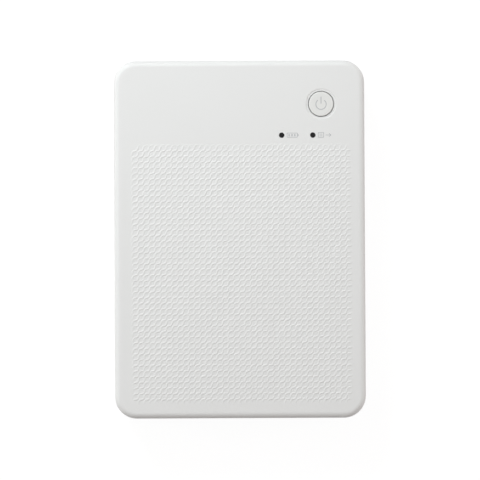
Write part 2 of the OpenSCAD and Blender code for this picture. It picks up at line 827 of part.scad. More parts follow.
module battery_pack() {
    cell = [battery_size[0] / 2 + tiny, battery_size[2]];
    color("steelblue") translate([battery_at[0], battery_at[1], floor_z]) {
        for (s = [-1, 1])
            translate([s * battery_size[0] / 4, battery_size[1] / 2, cell[1] / 2])
                rotate([90, 0, 0]) linear_extrude(battery_size[1])
                    rounded_rect(cell[0], cell[1], cell[1] / 2 - 0.4);
        translate([-battery_size[0] / 4, -battery_size[1] / 2 - 1.2, 4.4])
            cube([battery_size[0] / 2, 1.2 + tiny, 2.6]);
    }
}

module head_flex() {
    z = floor_z + sheet_t;
    t = 0.2;
    color("peru") x_prism(-9, 9) polygon([[head_y - 2, z], [feed_y - 3, z], [feed_y - 3, z + t],
        [head_y + 1, z + t], [head_y + 1, z + 1.2], [head_y - 2, z + 1.2],
        [head_y - 2, z + 1.2 - t], [head_y + 1 - t, z + 1.2 - t], [head_y + 1 - t, z + t],
        [head_y - 2, z + t]]);
}

module hinge_pins() {
    color("silver") for (s = [-1, 1])
        x_rod(hinge_pin_r, s * knuckle_x - knuckle_l / 2 - 3, s * knuckle_x + knuckle_l / 2 + 3,
            [hinge_y, seam_z]);
}

module door_pins() {
    color("silver") for (z = [door_bottom - 1.2, door_top - 2])
        translate([door_axis_x, door_axis_y, z]) cylinder(h = 3.2, r = door_pin_r);
}

// ---- side door ----

module side_door() {
    z0 = door_bottom + door_gap;
    z1 = door_top - door_gap;
    color("gainsboro") difference() {
        union() {
            block(side_x - wall, side_x, door_y0 + door_gap, door_axis_y, z0, z1);
            translate([door_axis_x, door_axis_y, z0]) cylinder(h = z1 - z0, r = door_barrel_r);
            for (z = [z0 + 2, z1 - 3])
                block(side_x - wall - 0.8, side_x - wall + tiny, door_y0 + 3,
                    door_axis_y - 3, z, z + 1);
        }
        translate([door_axis_x, door_axis_y, z0 - 1])
            cylinder(h = z1 - z0 + 2, r = door_pin_r + run);
        translate([side_x + 3.4, door_y0 + 5.5, (z0 + z1) / 2]) sphere(4.2);
    }
}

// ---- lid ----

module lid_shell() {
    color("white") difference() {
        union() {
            difference() {
                translate([0, 0, top_z]) mirror([0, 0, 1])
                    tray(body_w, body_l, top_z - lid_z, top_edge_r);
                for (s = [-1, 1])
                    x_rod(hinge_r + knuckle_gap, s * knuckle_x - knuckle_l / 2 - knuckle_gap,
                        s * knuckle_x + knuckle_l / 2 + knuckle_gap, [hinge_y, seam_z]);
            }
            x_rod(hinge_r, -knuckle_in + knuckle_gap, knuckle_in - knuckle_gap,
                [hinge_y, seam_z]);
            for (s = [-1, 1]) end_barrel(s);
            for (p = liner_screw_places)
                translate([p[0], p[1], liner_z + 1]) cylinder(h = ceiling_z - liner_z - 1 + tiny, r = 2.4);
            for (x = [-9, 7])
                block(x, x + 2, latch_y + latch_t + 0.2, latch_y + latch_t + 1.1,
                    ceiling_z - 1.8, ceiling_z + tiny);
        }
        translate([button_x, button_y, ceiling_z - 1])
            cylinder(h = wall + 2, r = button_r + button_gap);
        translate([button_x, button_y, top_z - dish_d])
            cylinder(h = dish_d + tiny, r1 = button_r + button_gap + dish_w - dish_slope,
                r2 = button_r + button_gap + dish_w);
        for (x = [lamp_a_x, lamp_b_x])
            translate([x, lamp_y, ceiling_z - 1]) cylinder(h = wall + 2, r = lamp_r + fit);
        for (p = liner_screw_places)
            translate([p[0], p[1], liner_z]) cylinder(h = 4.6, r = stud_r + fit);
        for (s = [-1, 1])
            x_rod(hinge_pin_r + run, s * knuckle_x - knuckle_l / 2 - 3.5,
                s * knuckle_x + knuckle_l / 2 + 3.5, [hinge_y, seam_z]);
        latch_slot();
        seam_lip(lip_gap, lip_h + lip_gap);
    }
}

latch_pad = [12, 3.6];
latch_pad_z = lid_z + 1.7;

liner_x = plate_x + 3;
liner_y0 = well_y0 + 3;
liner_y1 = hinge_y - hinge_r - 1.5;
liner_screw_places = [for (x = [3.8 - liner_x, liner_x - 3.8],
    y = [liner_y0 + 5, liner_y1 - 5]) [x, y]];

module end_barrel(s) {
    x0 = s < 0 ? -hinge_span + 0.3 : knuckle_out + knuckle_gap;
    x1 = s < 0 ? -knuckle_out - knuckle_gap : hinge_span - 0.3;
    intersection() {
        x_rod(hinge_r, x0, x1, [hinge_y, seam_z]);
        translate([0, 0, seam_z - 5]) linear_extrude(10)
            rounded_rect(body_w, body_l, corner_r);
    }
}

module latch_slot() {
    block(-latch_pad[0] / 2 - 0.3, latch_pad[0] / 2 + latch_travel + 0.3, front_y - 1,
        front_y + wall + 0.1, latch_pad_z - 0.3, latch_pad_z + latch_pad[1] + 0.3);
}

module release_slider() {
    bar_z0 = lid_z + 0.8;
    bar_z1 = latch_pad_z + latch_pad[1] + 1;
    color("gainsboro") {
        block(-latch_x - 3, latch_x + 1, latch_y - 0.1, latch_y + latch_t, bar_z0, bar_z1);
        block(-latch_pad[0] / 2, latch_pad[0] / 2, front_y + 0.3, latch_y, latch_pad_z,
            latch_pad_z + latch_pad[1]);
        for (x = [-4.5 : 1.5 : 4.5])
            block(x - 0.4, x + 0.4, front_y, front_y + 0.3 + tiny, latch_pad_z + 0.3,
                latch_pad_z + latch_pad[1] - 0.3);
        for (s = [-1, 1]) {
            x = s * latch_x;
            block(x - 1, x + 1, latch_y - 0.1, latch_y + latch_t, seam_z - 3, bar_z0 + tiny);
            block(x + 1 - tiny, x + 3.8, latch_y - 0.1, latch_y + latch_t,
                seam_z - 3, seam_z - 2);
        }
    }
}

module lid_liner() {
    color("gray") difference() {
        translate([0, 0, liner_z]) union() {
            linear_extrude(1) liner_outline();
            linear_extrude(ceiling_z - liner_z) difference() {
                liner_outline();
                translate([-liner_x + 1.2, liner_y0 + 1.2])
                    square([2 * liner_x - 2.4, liner_y1 - liner_y0 - 2.4]);
            }
            for (p = board_pads)
                translate([p[0], p[1], 0]) cylinder(h = lid_board_z - liner_z, r = 1.4);
            for (p = plate_pin_places)
                translate([p[0], p[1], 0]) cylinder(h = 1.6, r = 2.6);
        }
        for (p = plate_pin_places)
            translate([p[0], p[1], liner_z - 1]) cylinder(h = 6, r = pin_r + run);
        for (p = liner_screw_places)
            translate([p[0], p[1], liner_z - 1]) cylinder(h = 3, r = stud_r + run);
    }
}

module liner_outline() {
    translate([-liner_x, liner_y0]) square([2 * liner_x, liner_y1 - liner_y0]);
}

module liner_screws() {
    color("gray") for (p = liner_screw_places) translate([p[0], p[1], liner_z]) {
        translate([0, 0, -0.9]) cylinder(h = 0.9, r = 1.9);
        translate([0, 0, -tiny]) cylinder(h = 4, r = stud_r);
    }
}

lid_board = [lamp_a_x - 3.5, button_x + 6, lamp_y - 3, button_y + 4.6];
board_pads = [for (x = [lid_board[0] + 2, lid_board[1] - 2], y = [lid_board[2] + 1.6, lid_board[3] - 1.6])
    [x, y]];

module button_board() {
    color("darkgreen") block(lid_board[0], lid_board[1], lid_board[2], lid_board[3],
        lid_board_z, lid_board_z + board_t);
}

module tact_switch() {
    color("black") translate([button_x, button_y, lid_board_z + board_t]) {
        translate([-2.6, -2.6, 0]) cube([5.2, 5.2, switch_top - lid_board_z - board_t - 0.2]);
        cylinder(h = switch_top - lid_board_z - board_t, r = 1.4);
    }
}

module lamp_leds() {
    color("ivory") for (x = [lamp_a_x, lamp_b_x])
        translate([x - 0.8, lamp_y - 0.6, lid_board_z + board_t]) cube([1.6, 1.2, 0.7]);
}

module lamp_windows() {
    color("black") for (x = [lamp_a_x, lamp_b_x]) translate([x, lamp_y, 0]) {
        translate([0, 0, lid_board_z + board_t + 0.9])
            cylinder(h = top_z - 0.05 - lid_board_z - board_t - 0.9, r = lamp_r);
        translate([0, 0, ceiling_z - 0.8]) cylinder(h = 0.8, r = lamp_r + 0.7);
    }
}

module button_flex() {
    y0 = lid_board[3];
    y1 = liner_y1 - 1.2;
    color("peru") block(lid_board[1] - 9, lid_board[1] - 4, y0 - 2, y1, lid_board_z + board_t,
        lid_board_z + board_t + 0.15);
}

module power_button() {
    ease = 0.2;
    rim_r = button_r - ease;
    ball_r = (rim_r * rim_r / cap_hollow + cap_hollow) / 2;
    color("white") translate([button_x, button_y, 0]) difference() {
        union() {
            translate([0, 0, cap_bottom]) cylinder(h = 0.5, r = button_r + 1.2);
            translate([0, 0, cap_bottom])
                cylinder(h = button_top - ease - cap_bottom, r = button_r);
            translate([0, 0, button_top - ease - tiny])
                cylinder(h = ease + tiny, r1 = button_r, r2 = rim_r);
        }
        translate([0, 0, button_top - cap_hollow + ball_r]) sphere(ball_r);
    }
}

// ---- pressure plate in the lid ----

pin_r = 1;
plate_size = [paper_w - 28, well_l - 46];
plate_y = well_y0 + 10 + plate_size[1] / 2;
plate_z0 = path_z + rest_gap;
plate_t = 1;
plate_pin_places = [for (x = [-1, 1], y = [-1, 1])
    [x * (plate_size[0] / 2 - 5), plate_y + y * (plate_size[1] / 2 - 6)]];

module pressure_plate() {
    color("gainsboro") {
        translate([0, plate_y, plate_z0]) linear_extrude(plate_t)
            rounded_rect(plate_size[0], plate_size[1], 4);
        translate([0, plate_y, plate_z0 + plate_t - tiny]) linear_extrude(0.8) difference() {
            rounded_rect(plate_size[0], plate_size[1], 4);
            rounded_rect(plate_size[0] - 2, plate_size[1] - 2, 3);
        }
        for (p = plate_pin_places) translate([p[0], p[1], plate_z0]) {
            cylinder(h = liner_z + 2.2 - plate_z0, r = pin_r);
            translate([0, 0, liner_z + 1.8 - plate_z0]) cylinder(h = 0.6, r = pin_r + 0.7);
        }
    }
}

module pressure_springs() {
    color("silver") for (p = plate_pin_places) translate([p[0], p[1], 0])
        coil(1.7, 0.2, 4, plate_z0 + plate_t, liner_z);
}

// ---- print head ----

lever_x = paper_w / 2 + 2.5;
sink_y = 3.8;
sink_z0 = floor_z + 5;
sink_z1 = path_z - 2.6;

module head_lever() {
    arm_t = 1.4;
    arm_z0 = path_z - 0.1;
    color("silver") difference() {
        union() {
            for (x0 = [-lever_x - arm_t, lever_x]) x_prism(x0, x0 + arm_t) {
                translate(lever_at) circle(2);
                translate([lever_at[0], arm_z0])
                    square([head_y + 3 - lever_at[0], 2]);
                translate([head_y - 4.2, sink_z0 - 1])
                    square([8.4, arm_z0 + 2 - sink_z0 + 1]);
            }
            block(-lever_x - arm_t, lever_x + arm_t, head_y - 4.2, head_y + 4.2,
                sink_z0 - 1, sink_z0);
        }
        for (s = [-1, 1]) x_rod(stud_r + run, s * lever_x - 3, s * lever_x + 3, lever_at);
    }
}

module lever_pins() {
    color("gray") for (s = [-1, 1])
        x_rod(stud_r, s > 0 ? lever_x - 0.6 : -plate_out, s > 0 ? plate_out : -lever_x + 0.6,
            lever_at);
}

module heat_sink() {
    x1 = paper_w / 2 + 1.5;
    color("gray") {
        block(-x1, x1, head_y - sink_y, head_y + sink_y, sink_z1 - 2.5, sink_z1);
        for (k = [-2 : 2])
            block(-x1, x1, head_y + k * 1.7 - 0.4, head_y + k * 1.7 + 0.4, sink_z0,
                sink_z1 - 2.5 + tiny);
    }
}

module print_head() {
    x1 = paper_w / 2 + 0.5;
    top = path_z - 0.3;
    color("ivory") x_prism(-x1, x1) polygon([[head_y - 3.4, sink_z1], [head_y + 3.4, sink_z1],
        [head_y + 3.4, top - 0.5], [head_y + 0.8, top - 0.4], [head_y + 0.4, top],
        [head_y - 0.4, top], [head_y - 0.8, top - 0.4], [head_y - 3.4, top - 0.5]]);
}

module head_springs() {
    spring_x = paper_w / 2 - 8;
    color("silver") for (x = [-spring_x, spring_x]) translate([x, head_y, 0])
        coil(2.2, 0.25, 3, floor_z + sheet_t, sink_z0 - 1);
}

// ---- rollers and gears ----

module platen_shaft() {
    color("silver") x_rod(shaft_r, gear_x0 - 0.6, plate_out + 0.6, platen_at);
}

module platen_roller() {
    color("black") difference() {
        x_rod(platen_r, -paper_w / 2 - 1, paper_w / 2 + 1, platen_at);
        x_rod(shaft_r, -paper_w, paper_w, platen_at);
    }
}

module platen_gear() {
    color("ivory") gear(platen_teeth, platen_at, platen_turn, shaft_r + fit, 3);
}

module capstan() {
    color("silver") {
        x_rod(shaft_r, gear_x0 - 0.6, plate_out + 0.6, capstan_at);
        x_rod(capstan_r, -paper_w / 2 - 1, paper_w / 2 + 1, capstan_at);
    }
}

module capstan_gear() {
    color("ivory") gear(capstan_teeth, capstan_at, capstan_turn, shaft_r + fit, 2.6);
}

module pinch_roller() {
    color("silver") x_rod(1, -plate_out, plate_out, [feed_y, pinch_z]);
}

module pinch_sleeve() {
    color("black") difference() {
        x_rod(pinch_r, -paper_w / 2, paper_w / 2, [feed_y, pinch_z]);
        x_rod(1, -paper_w, paper_w, [feed_y, pinch_z]);
    }
}

module pickup_shaft() {
    color("silver") x_rod(shaft_r, gear_x0 - 0.6, plate_out + 0.6, pickup_at);
}

module pickup_roller() {
    color("black") difference() {
        x_rod(pickup_r, -14, 14, pickup_at);
        x_rod(shaft_r, -15, 15, pickup_at);
    }
}

module pickup_gear() {
    color("ivory") gear(pickup_teeth, pickup_at, pickup_turn, shaft_r + fit, 3);
}

module motor_pinion() {
    color("goldenrod") {
        x_prism(gear_x0, gear_x1) translate(motor_at) rotate(pinion_turn)
            gear_outline(pinion_teeth);
        x_rod(0.7, gear_x0, -plate_out + 0.3, motor_at);
    }
}

module pickup_idler() {
    color("ivory") gear(small_idler_teeth, pickup_idler_at, pickup_idler_turn, stud_r + run, 2);
}

module feed_idler() {
    color("ivory") gear(idler_teeth, feed_idler_at, feed_idler_turn, stud_r + run, 2.2);
}

module platen_idler() {
    color("ivory") gear(idler_teeth, platen_idler_at, platen_idler_turn, stud_r + run, 2.2);
}

module ribbon_idler() {
    color("ivory") gear(idler_teeth, ribbon_idler_at, ribbon_idler_turn, stud_r + run, 2.2);
}

module takeup_gear() {
    color("ivory") gear(takeup_teeth, takeup_at, takeup_turn, 1.2 + fit, 2.4);
}

base_shell();
rubber_feet();
chassis();
chassis_screws();
shaft_bushings();
gear_studs();
mechanism_cover();
exit_guide();
paper_well();
lid_catches();
paper_stack();
ribbon_cassette();
ribbon_film();
drive_motor();
main_board();
board_chips();
case_screws();
charging_port();
battery_pack();
hinge_pins();
door_pins();
head_flex();
lid_shell();
lid_liner();
liner_screws();
button_board();
tact_switch();
lamp_leds();
lamp_windows();
button_flex();
power_button();
release_slider();
pressure_plate();
pressure_springs();
side_door();
head_lever();
lever_pins();
heat_sink();
print_head();
head_springs();
platen_shaft();
platen_roller();
platen_gear();
capstan();
capstan_gear();
pinch_roller();
pinch_sleeve();
pickup_shaft();
pickup_roller();
pickup_gear();
motor_pinion();
pickup_idler();
feed_idler();
platen_idler();
ribbon_idler();
supply_spool();
supply_ribbon();
takeup_spool();
takeup_ribbon();
takeup_gear();
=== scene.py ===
import json
import math
import random

import bmesh
import bpy
import numpy as np
from mathutils import Matrix, Vector


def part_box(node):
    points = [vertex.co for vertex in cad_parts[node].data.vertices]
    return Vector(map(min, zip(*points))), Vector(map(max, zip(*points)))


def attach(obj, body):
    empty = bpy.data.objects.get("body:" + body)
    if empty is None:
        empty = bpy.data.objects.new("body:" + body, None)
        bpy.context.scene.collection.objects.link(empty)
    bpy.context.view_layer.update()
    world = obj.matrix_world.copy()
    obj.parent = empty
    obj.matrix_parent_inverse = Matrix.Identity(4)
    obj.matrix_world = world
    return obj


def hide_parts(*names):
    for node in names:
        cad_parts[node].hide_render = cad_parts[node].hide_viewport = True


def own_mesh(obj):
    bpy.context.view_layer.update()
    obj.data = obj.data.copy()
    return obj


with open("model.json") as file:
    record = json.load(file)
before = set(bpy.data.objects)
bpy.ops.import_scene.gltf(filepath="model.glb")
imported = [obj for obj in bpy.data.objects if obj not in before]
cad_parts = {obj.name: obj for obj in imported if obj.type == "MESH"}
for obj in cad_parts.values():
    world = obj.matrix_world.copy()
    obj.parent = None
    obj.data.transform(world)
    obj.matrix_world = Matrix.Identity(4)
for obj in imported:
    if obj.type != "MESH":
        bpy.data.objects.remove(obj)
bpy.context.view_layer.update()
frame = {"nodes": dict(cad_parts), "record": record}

MM = 0.001
random.seed(11)

# Sizes and places are in millimetres, apart from those of the studio and of surface grain, which
# are in metres.
BUTTON = (33.4, 55.0)
BATTERY_LAMP = (17.3, 42.3)
PAPER_LAMP = (30.0, 42.3)
CAP_RIM_RADIUS = 4.7
CAP_HOLLOW = 0.12

# Raised ripple over the lower part of the lid. A step starts faster along X and slower along Y
# by the sway, as shares of its even speed, so that a line climbs in rounded stairs.
RIPPLE_LEFT, RIPPLE_RIGHT = -44.8, 46.2
RIPPLE_FRONT, RIPPLE_BACK = -67.4, 39.2
RIPPLE_CORNER = 4.0
RIPPLE_PITCH = (2.29, 2.30)
RIPPLE_SWAY = (0.45, 0.9)
RIPPLE_WIDTH = 1.0
RIPPLE_RISE = 0.146
RIPPLE_SINK = 0.03
# How many points a step has, and the fewest that a line has.
RIPPLE_STEPS = 10
RIPPLE_SHORTEST = 4
# How far inside the border the lines reach their full height, and half the share of it that
# they lose midway along each step.
RIPPLE_BORDER = 1.6
RIPPLE_DIP = 0.15
# Places across a line, as shares of its width, and the height there as a share of its rise.
RIPPLE_ACROSS = (-0.5, -0.26, 0.0, 0.26, 0.5)
RIPPLE_SECTION = (0.0, 0.78, 1.0, 0.78, 0.0)

# Power sign: a ring open on both sides of a stroke, its middle a little forward of the button's.
# The gap is in degrees on each side, and the stroke has its start and end.
POWER_RADIUS = 2.1
POWER_GAP = 38
POWER_LINE = 0.36
POWER_FORWARD = 0.15
POWER_STROKE = (0.1, 2.95)
POWER_SINK = 0.03

# Signs beside the lamps, with their left edge SIGN_OFFSET from the middle of a lamp.
SIGN_OFFSET = 2.2
SIGN_LINE = 0.24
SIGN_SINK = 0.02
# Battery sign: its width and height; its terminal's gap, height and width; and the first place,
# step, height and width of its level bars.
BATTERY_SIGN = (4.2, 1.7)
BATTERY_TERMINAL = (0.3, 0.7, 0.36)
BATTERY_LEVEL = (0.85, 1.15, 0.9, 0.55)
# Sheet sign: its width and height; the start, end, step and width of its lines; and the arrow's
# tail, tip, and the length and half height of its head.
SHEET_SIGN = (2.2, 1.9)
SHEET_LINES = (0.5, 1.7, 0.4, 0.16)
ARROW = (3.0, 5.2, 0.8, 0.7)

# All printed signs stand this much proud of their face.
PRINT_RISE = 0.015

# Lamp domes, which start below the lid's face. The foot has its radius and its depth below that.
LENS_RADIUS = 1.08
LENS_DOME = 0.06
LENS_SINK = 0.05
LENS_FOOT = (1.12, 0.03)
# Radius of the flat that closes a dome at the top.
LENS_TIP = 0.001


# ---- shader groups ----

# How many patches of each kind go to a metre, and the part of their noise that is stretched.
GLOSS_PATCHES = 38.0
TONE_PATCHES = 16.0
DUST_AND_SHADE_PATCHES = 900.0
RUB_AND_HIGHLIGHT_PATCHES = 420.0
METAL_PATCHES = 120.0
WIDE_RANGE = (0.3, 0.7)
MIDDLE_RANGE = (0.35, 0.65)
RUB_AND_HIGHLIGHT_RANGE = (0.42, 0.62)
# Coarse grain beside the fine one: shares of its scale and height.
COARSE_SCALE = 0.35
COARSE_HEIGHT = 0.8
# The least dust and painted shade in a crevice, the gain of the mask of rubbed wear and
# painted highlight, and the lowest and highest tone of metal.
THINNEST_DUST_AND_SHADE = 0.5
RUB_AND_HIGHLIGHT_GAIN = 4.0
METAL_TONES = (0.92, 1.06)


def new_group(name, inputs, outputs):
    group = bpy.data.node_groups.new(name, "ShaderNodeTree")
    for label, kind, value in inputs:
        socket = group.interface.new_socket(label, in_out="INPUT", socket_type=kind)
        socket.default_value = value
    for label, kind in outputs:
        group.interface.new_socket(label, in_out="OUTPUT", socket_type=kind)
    source = group.nodes.new("NodeGroupInput")
    target = group.nodes.new("NodeGroupOutput")
    return group, source.outputs, target.inputs


def link(tree, start, end):
    tree.links.new(start, end)


def feed(tree, value, socket):
    """A number is set on the socket, and an output is linked to it."""
    if isinstance(value, (int, float)):
        socket.default_value = value
    else:
        link(tree, value, socket)


def add_node(tree, kind, **settings):
    node = tree.nodes.new(kind)
    for key, value in settings.items():
        setattr(node, key, value)
    return node


def math_node(tree, operation, first, second, clamp=False):
    node = add_node(tree, "ShaderNodeMath", operation=operation, use_clamp=clamp)
    feed(tree, first, node.inputs[0])
    feed(tree, second, node.inputs[1])
    return node.outputs[0]


def noise_node(tree, place, scale, detail, roughness):
    """Even noise. The scale is its patches per metre."""
    node = add_node(tree, "ShaderNodeTexNoise", noise_dimensions="3D")
    link(tree, place, node.inputs["Vector"])
    for label, value in (("Scale", scale), ("Detail", detail), ("Roughness", roughness)):
        feed(tree, value, node.inputs[label])
    return node.outputs["Fac"]


def spread(tree, value, low, high, new_low, new_high):
    """The value's range from low to high stretched to a new one."""
    node = add_node(tree, "ShaderNodeMapRange")
    for label, amount in (("Value", value), ("From Min", low), ("From Max", high),
                          ("To Min", new_low), ("To Max", new_high)):
        feed(tree, amount, node.inputs[label])
    return node.outputs["Result"]


def surface_place(tree):
    return add_node(tree, "ShaderNodeTexCoord").outputs["Object"]


def make_mould_grain():
    """Fine spark-eroded grain of a moulded face, with slight changes of gloss and tone."""
    group, given, out = new_group(
        "Mould grain",
        [("Grain Scale", "NodeSocketFloat", 5200.0), ("Gloss Low", "NodeSocketFloat", 0.42),
         ("Gloss High", "NodeSocketFloat", 0.56), ("Tone Drift", "NodeSocketFloat", 0.02)],
        [("Height", "NodeSocketFloat"), ("Roughness", "NodeSocketFloat"),
         ("Tone", "NodeSocketFloat")])
    place = surface_place(group)
    fine = noise_node(group, place, given["Grain Scale"], 2.0, 0.6)
    coarse_scale = math_node(group, "MULTIPLY", given["Grain Scale"], COARSE_SCALE)
    coarse = noise_node(group, place, coarse_scale, 2.0, 0.5)
    height = math_node(group, "ADD", fine, math_node(group, "MULTIPLY", coarse, COARSE_HEIGHT))
    link(group, height, out["Height"])
    cloud = noise_node(group, place, GLOSS_PATCHES, 3.0, 0.5)
    link(group, spread(group, cloud, *WIDE_RANGE, given["Gloss Low"], given["Gloss High"]),
         out["Roughness"])
    drift = noise_node(group, place, TONE_PATCHES, 2.0, 0.5)
    low = math_node(group, "SUBTRACT", 1.0, given["Tone Drift"])
    high = math_node(group, "ADD", 1.0, given["Tone Drift"])
    link(group, spread(group, drift, *WIDE_RANGE, low, high), out["Tone"])
    return group


def make_crevice_dust_and_shade():
    """A soft mask, strong in tight corners and gaps: dust that settles there, and painted shade."""
    group, given, out = new_group(
        "Crevice dust and shade",
        [("Reach", "NodeSocketFloat", 0.0012), ("Amount", "NodeSocketFloat", 0.5)],
        [("Mask", "NodeSocketFloat")])
    # Painted shade: ambient occlusion darkens the colour in corners and gaps, broken up like dust.
    shade = add_node(group, "ShaderNodeAmbientOcclusion", samples=8)
    link(group, given["Reach"], shade.inputs["Distance"])
    closed = math_node(group, "SUBTRACT", 1.0, shade.outputs["AO"])
    patch = noise_node(group, surface_place(group), DUST_AND_SHADE_PATCHES, 3.0, 0.6)
    uneven = spread(group, patch, *MIDDLE_RANGE, THINNEST_DUST_AND_SHADE, 1.0)
    mask = math_node(group, "MULTIPLY", math_node(group, "MULTIPLY", closed, uneven),
                     given["Amount"], clamp=True)
    link(group, mask, out["Mask"])
    return group


def make_edge_rub_and_highlight():
    """A thin mask along outer edges, polished or paled by handling, with painted highlight."""
    group, given, out = new_group(
        "Edge rub and highlight",
        [("Width", "NodeSocketFloat", 0.0002), ("Amount", "NodeSocketFloat", 0.5)],
        [("Mask", "NodeSocketFloat")])
    # Painted highlight: edges found by the bevel normal are made paler, broken up like wear.
    soft = add_node(group, "ShaderNodeBevel", samples=4)
    link(group, given["Width"], soft.inputs["Radius"])
    flat = add_node(group, "ShaderNodeNewGeometry")
    dot = add_node(group, "ShaderNodeVectorMath", operation="DOT_PRODUCT")
    link(group, soft.outputs["Normal"], dot.inputs[0])
    link(group, flat.outputs["Normal"], dot.inputs[1])
    bend = math_node(group, "MULTIPLY", math_node(group, "SUBTRACT", 1.0, dot.outputs["Value"]),
                     RUB_AND_HIGHLIGHT_GAIN, clamp=True)
    patch = noise_node(group, surface_place(group), RUB_AND_HIGHLIGHT_PATCHES, 4.0, 0.6)
    broken = spread(group, patch, *RUB_AND_HIGHLIGHT_RANGE, 0.0, 1.0)
    mask = math_node(group, "MULTIPLY", math_node(group, "MULTIPLY", bend, broken),
                     given["Amount"], clamp=True)
    link(group, mask, out["Mask"])
    return group


def make_drawn_lines():
    """Long fine lines of rolled, ground or extruded metal, along X."""
    group, given, out = new_group(
        "Drawn lines",
        [("Line Scale", "NodeSocketFloat", 4200.0), ("Stretch", "NodeSocketFloat", 0.02),
         ("Gloss Low", "NodeSocketFloat", 0.22), ("Gloss High", "NodeSocketFloat", 0.42)],
        [("Height", "NodeSocketFloat"), ("Roughness", "NodeSocketFloat"),
         ("Tone", "NodeSocketFloat")])
    place = surface_place(group)
    squeeze = add_node(group, "ShaderNodeCombineXYZ")
    for label, value in (("X", given["Stretch"]), ("Y", 1.0), ("Z", 1.0)):
        feed(group, value, squeeze.inputs[label])
    along = add_node(group, "ShaderNodeVectorMath", operation="MULTIPLY")
    link(group, place, along.inputs[0])
    link(group, squeeze.outputs["Vector"], along.inputs[1])
    lines = noise_node(group, along.outputs["Vector"], given["Line Scale"], 2.0, 0.6)
    link(group, lines, out["Height"])
    cloud = noise_node(group, place, METAL_PATCHES, 3.0, 0.5)
    mixed = math_node(group, "MULTIPLY", math_node(group, "ADD", lines, cloud), 0.5)
    link(group, spread(group, mixed, *MIDDLE_RANGE, given["Gloss Low"], given["Gloss High"]),
         out["Roughness"])
    link(group, spread(group, mixed, *WIDE_RANGE, *METAL_TONES), out["Tone"])
    return group


MOULD_GRAIN = make_mould_grain()
CREVICE_DUST_AND_SHADE = make_crevice_dust_and_shade()
EDGE_RUB_AND_HIGHLIGHT = make_edge_rub_and_highlight()
DRAWN_LINES = make_drawn_lines()


# ---- materials ----

def place_group(tree, group, **values):
    node = add_node(tree, "ShaderNodeGroup", node_tree=group)
    for key, value in values.items():
        node.inputs[key.replace("_", " ")].default_value = value
    return node.outputs


def start_material(name):
    material = bpy.data.materials.new(name)
    material.use_nodes = True
    tree = material.node_tree
    shader = tree.nodes["Principled BSDF"]
    return material, tree, shader


def tinted(tree, colour, tone):
    """The base colour made a little lighter or darker by a tone value near one."""
    node = add_node(tree, "ShaderNodeMix", data_type="RGBA", blend_type="MULTIPLY")
    node.inputs["Factor"].default_value = 1.0
    node.inputs[6].default_value = (*colour, 1.0)
    link(tree, tone, node.inputs[7])
    return node.outputs[2]


def overlaid(tree, mask, under, colour):
    """The colour laid over another one where the mask is strong."""
    node = add_node(tree, "ShaderNodeMix", data_type="RGBA")
    link(tree, mask, node.inputs["Factor"])
    link(tree, under, node.inputs[6])
    node.inputs[7].default_value = (*colour, 1.0)
    return node.outputs[2]


def paler(colour, gain, lift):
    return tuple(min(1.0, c * gain + lift) for c in colour)


def bumped(tree, height, depth, shader):
    bump = add_node(tree, "ShaderNodeBump")
    bump.inputs["Strength"].default_value = 1.0
    bump.inputs["Distance"].default_value = depth
    link(tree, height, bump.inputs["Height"])
    link(tree, bump.outputs["Normal"], shader.inputs["Normal"])


# How rubbed edges grow paler, as wear and painted highlight: gain and lift of the colour.
PLASTIC_RUB_AND_HIGHLIGHT_PALING = (1.12, 0.02)


def plastic(name, colour, gloss, grain=5200.0, depth=4e-6, drift=0.02, dust_and_shade=0.35,
            dust_and_shade_colour=(0.33, 0.32, 0.30), rub_and_highlight=0.25, coat=0.0, shine=0.5):
    """A moulded, coated or rubber finish. The depth of its grain is in metres."""
    material, tree, shader = start_material(name)
    grained = place_group(tree, MOULD_GRAIN, Grain_Scale=grain, Gloss_Low=gloss[0],
                          Gloss_High=gloss[1], Tone_Drift=drift)
    base = tinted(tree, colour, grained["Tone"])
    # Rubbed wear and painted highlight: edges are made paler.
    rubbed_and_highlighted = place_group(tree, EDGE_RUB_AND_HIGHLIGHT, Amount=rub_and_highlight)
    base = overlaid(tree, rubbed_and_highlighted["Mask"], base, paler(colour, *PLASTIC_RUB_AND_HIGHLIGHT_PALING))
    # Dust and painted shade: corners and gaps are made darker.
    dusted_and_shaded = place_group(tree, CREVICE_DUST_AND_SHADE, Amount=dust_and_shade)
    base = overlaid(tree, dusted_and_shaded["Mask"], base, dust_and_shade_colour)
    link(tree, base, shader.inputs["Base Color"])
    link(tree, grained["Roughness"], shader.inputs["Roughness"])
    shader.inputs["Specular IOR Level"].default_value = shine
    shader.inputs["Coat Weight"].default_value = coat
    bumped(tree, grained["Height"], depth, shader)
    return material


# Bare metal: rubbed wear and painted highlight along edges, dust and painted shade in crevices.
METAL_RUB_AND_HIGHLIGHT_PALING = (1.2, 0.0)
METAL_RUB_AND_HIGHLIGHT = 0.4
METAL_DUST_AND_SHADE = 0.3
METAL_DUST_AND_SHADE_COLOUR = (0.16, 0.15, 0.14)
METAL_LINE_DEPTH = 2e-6


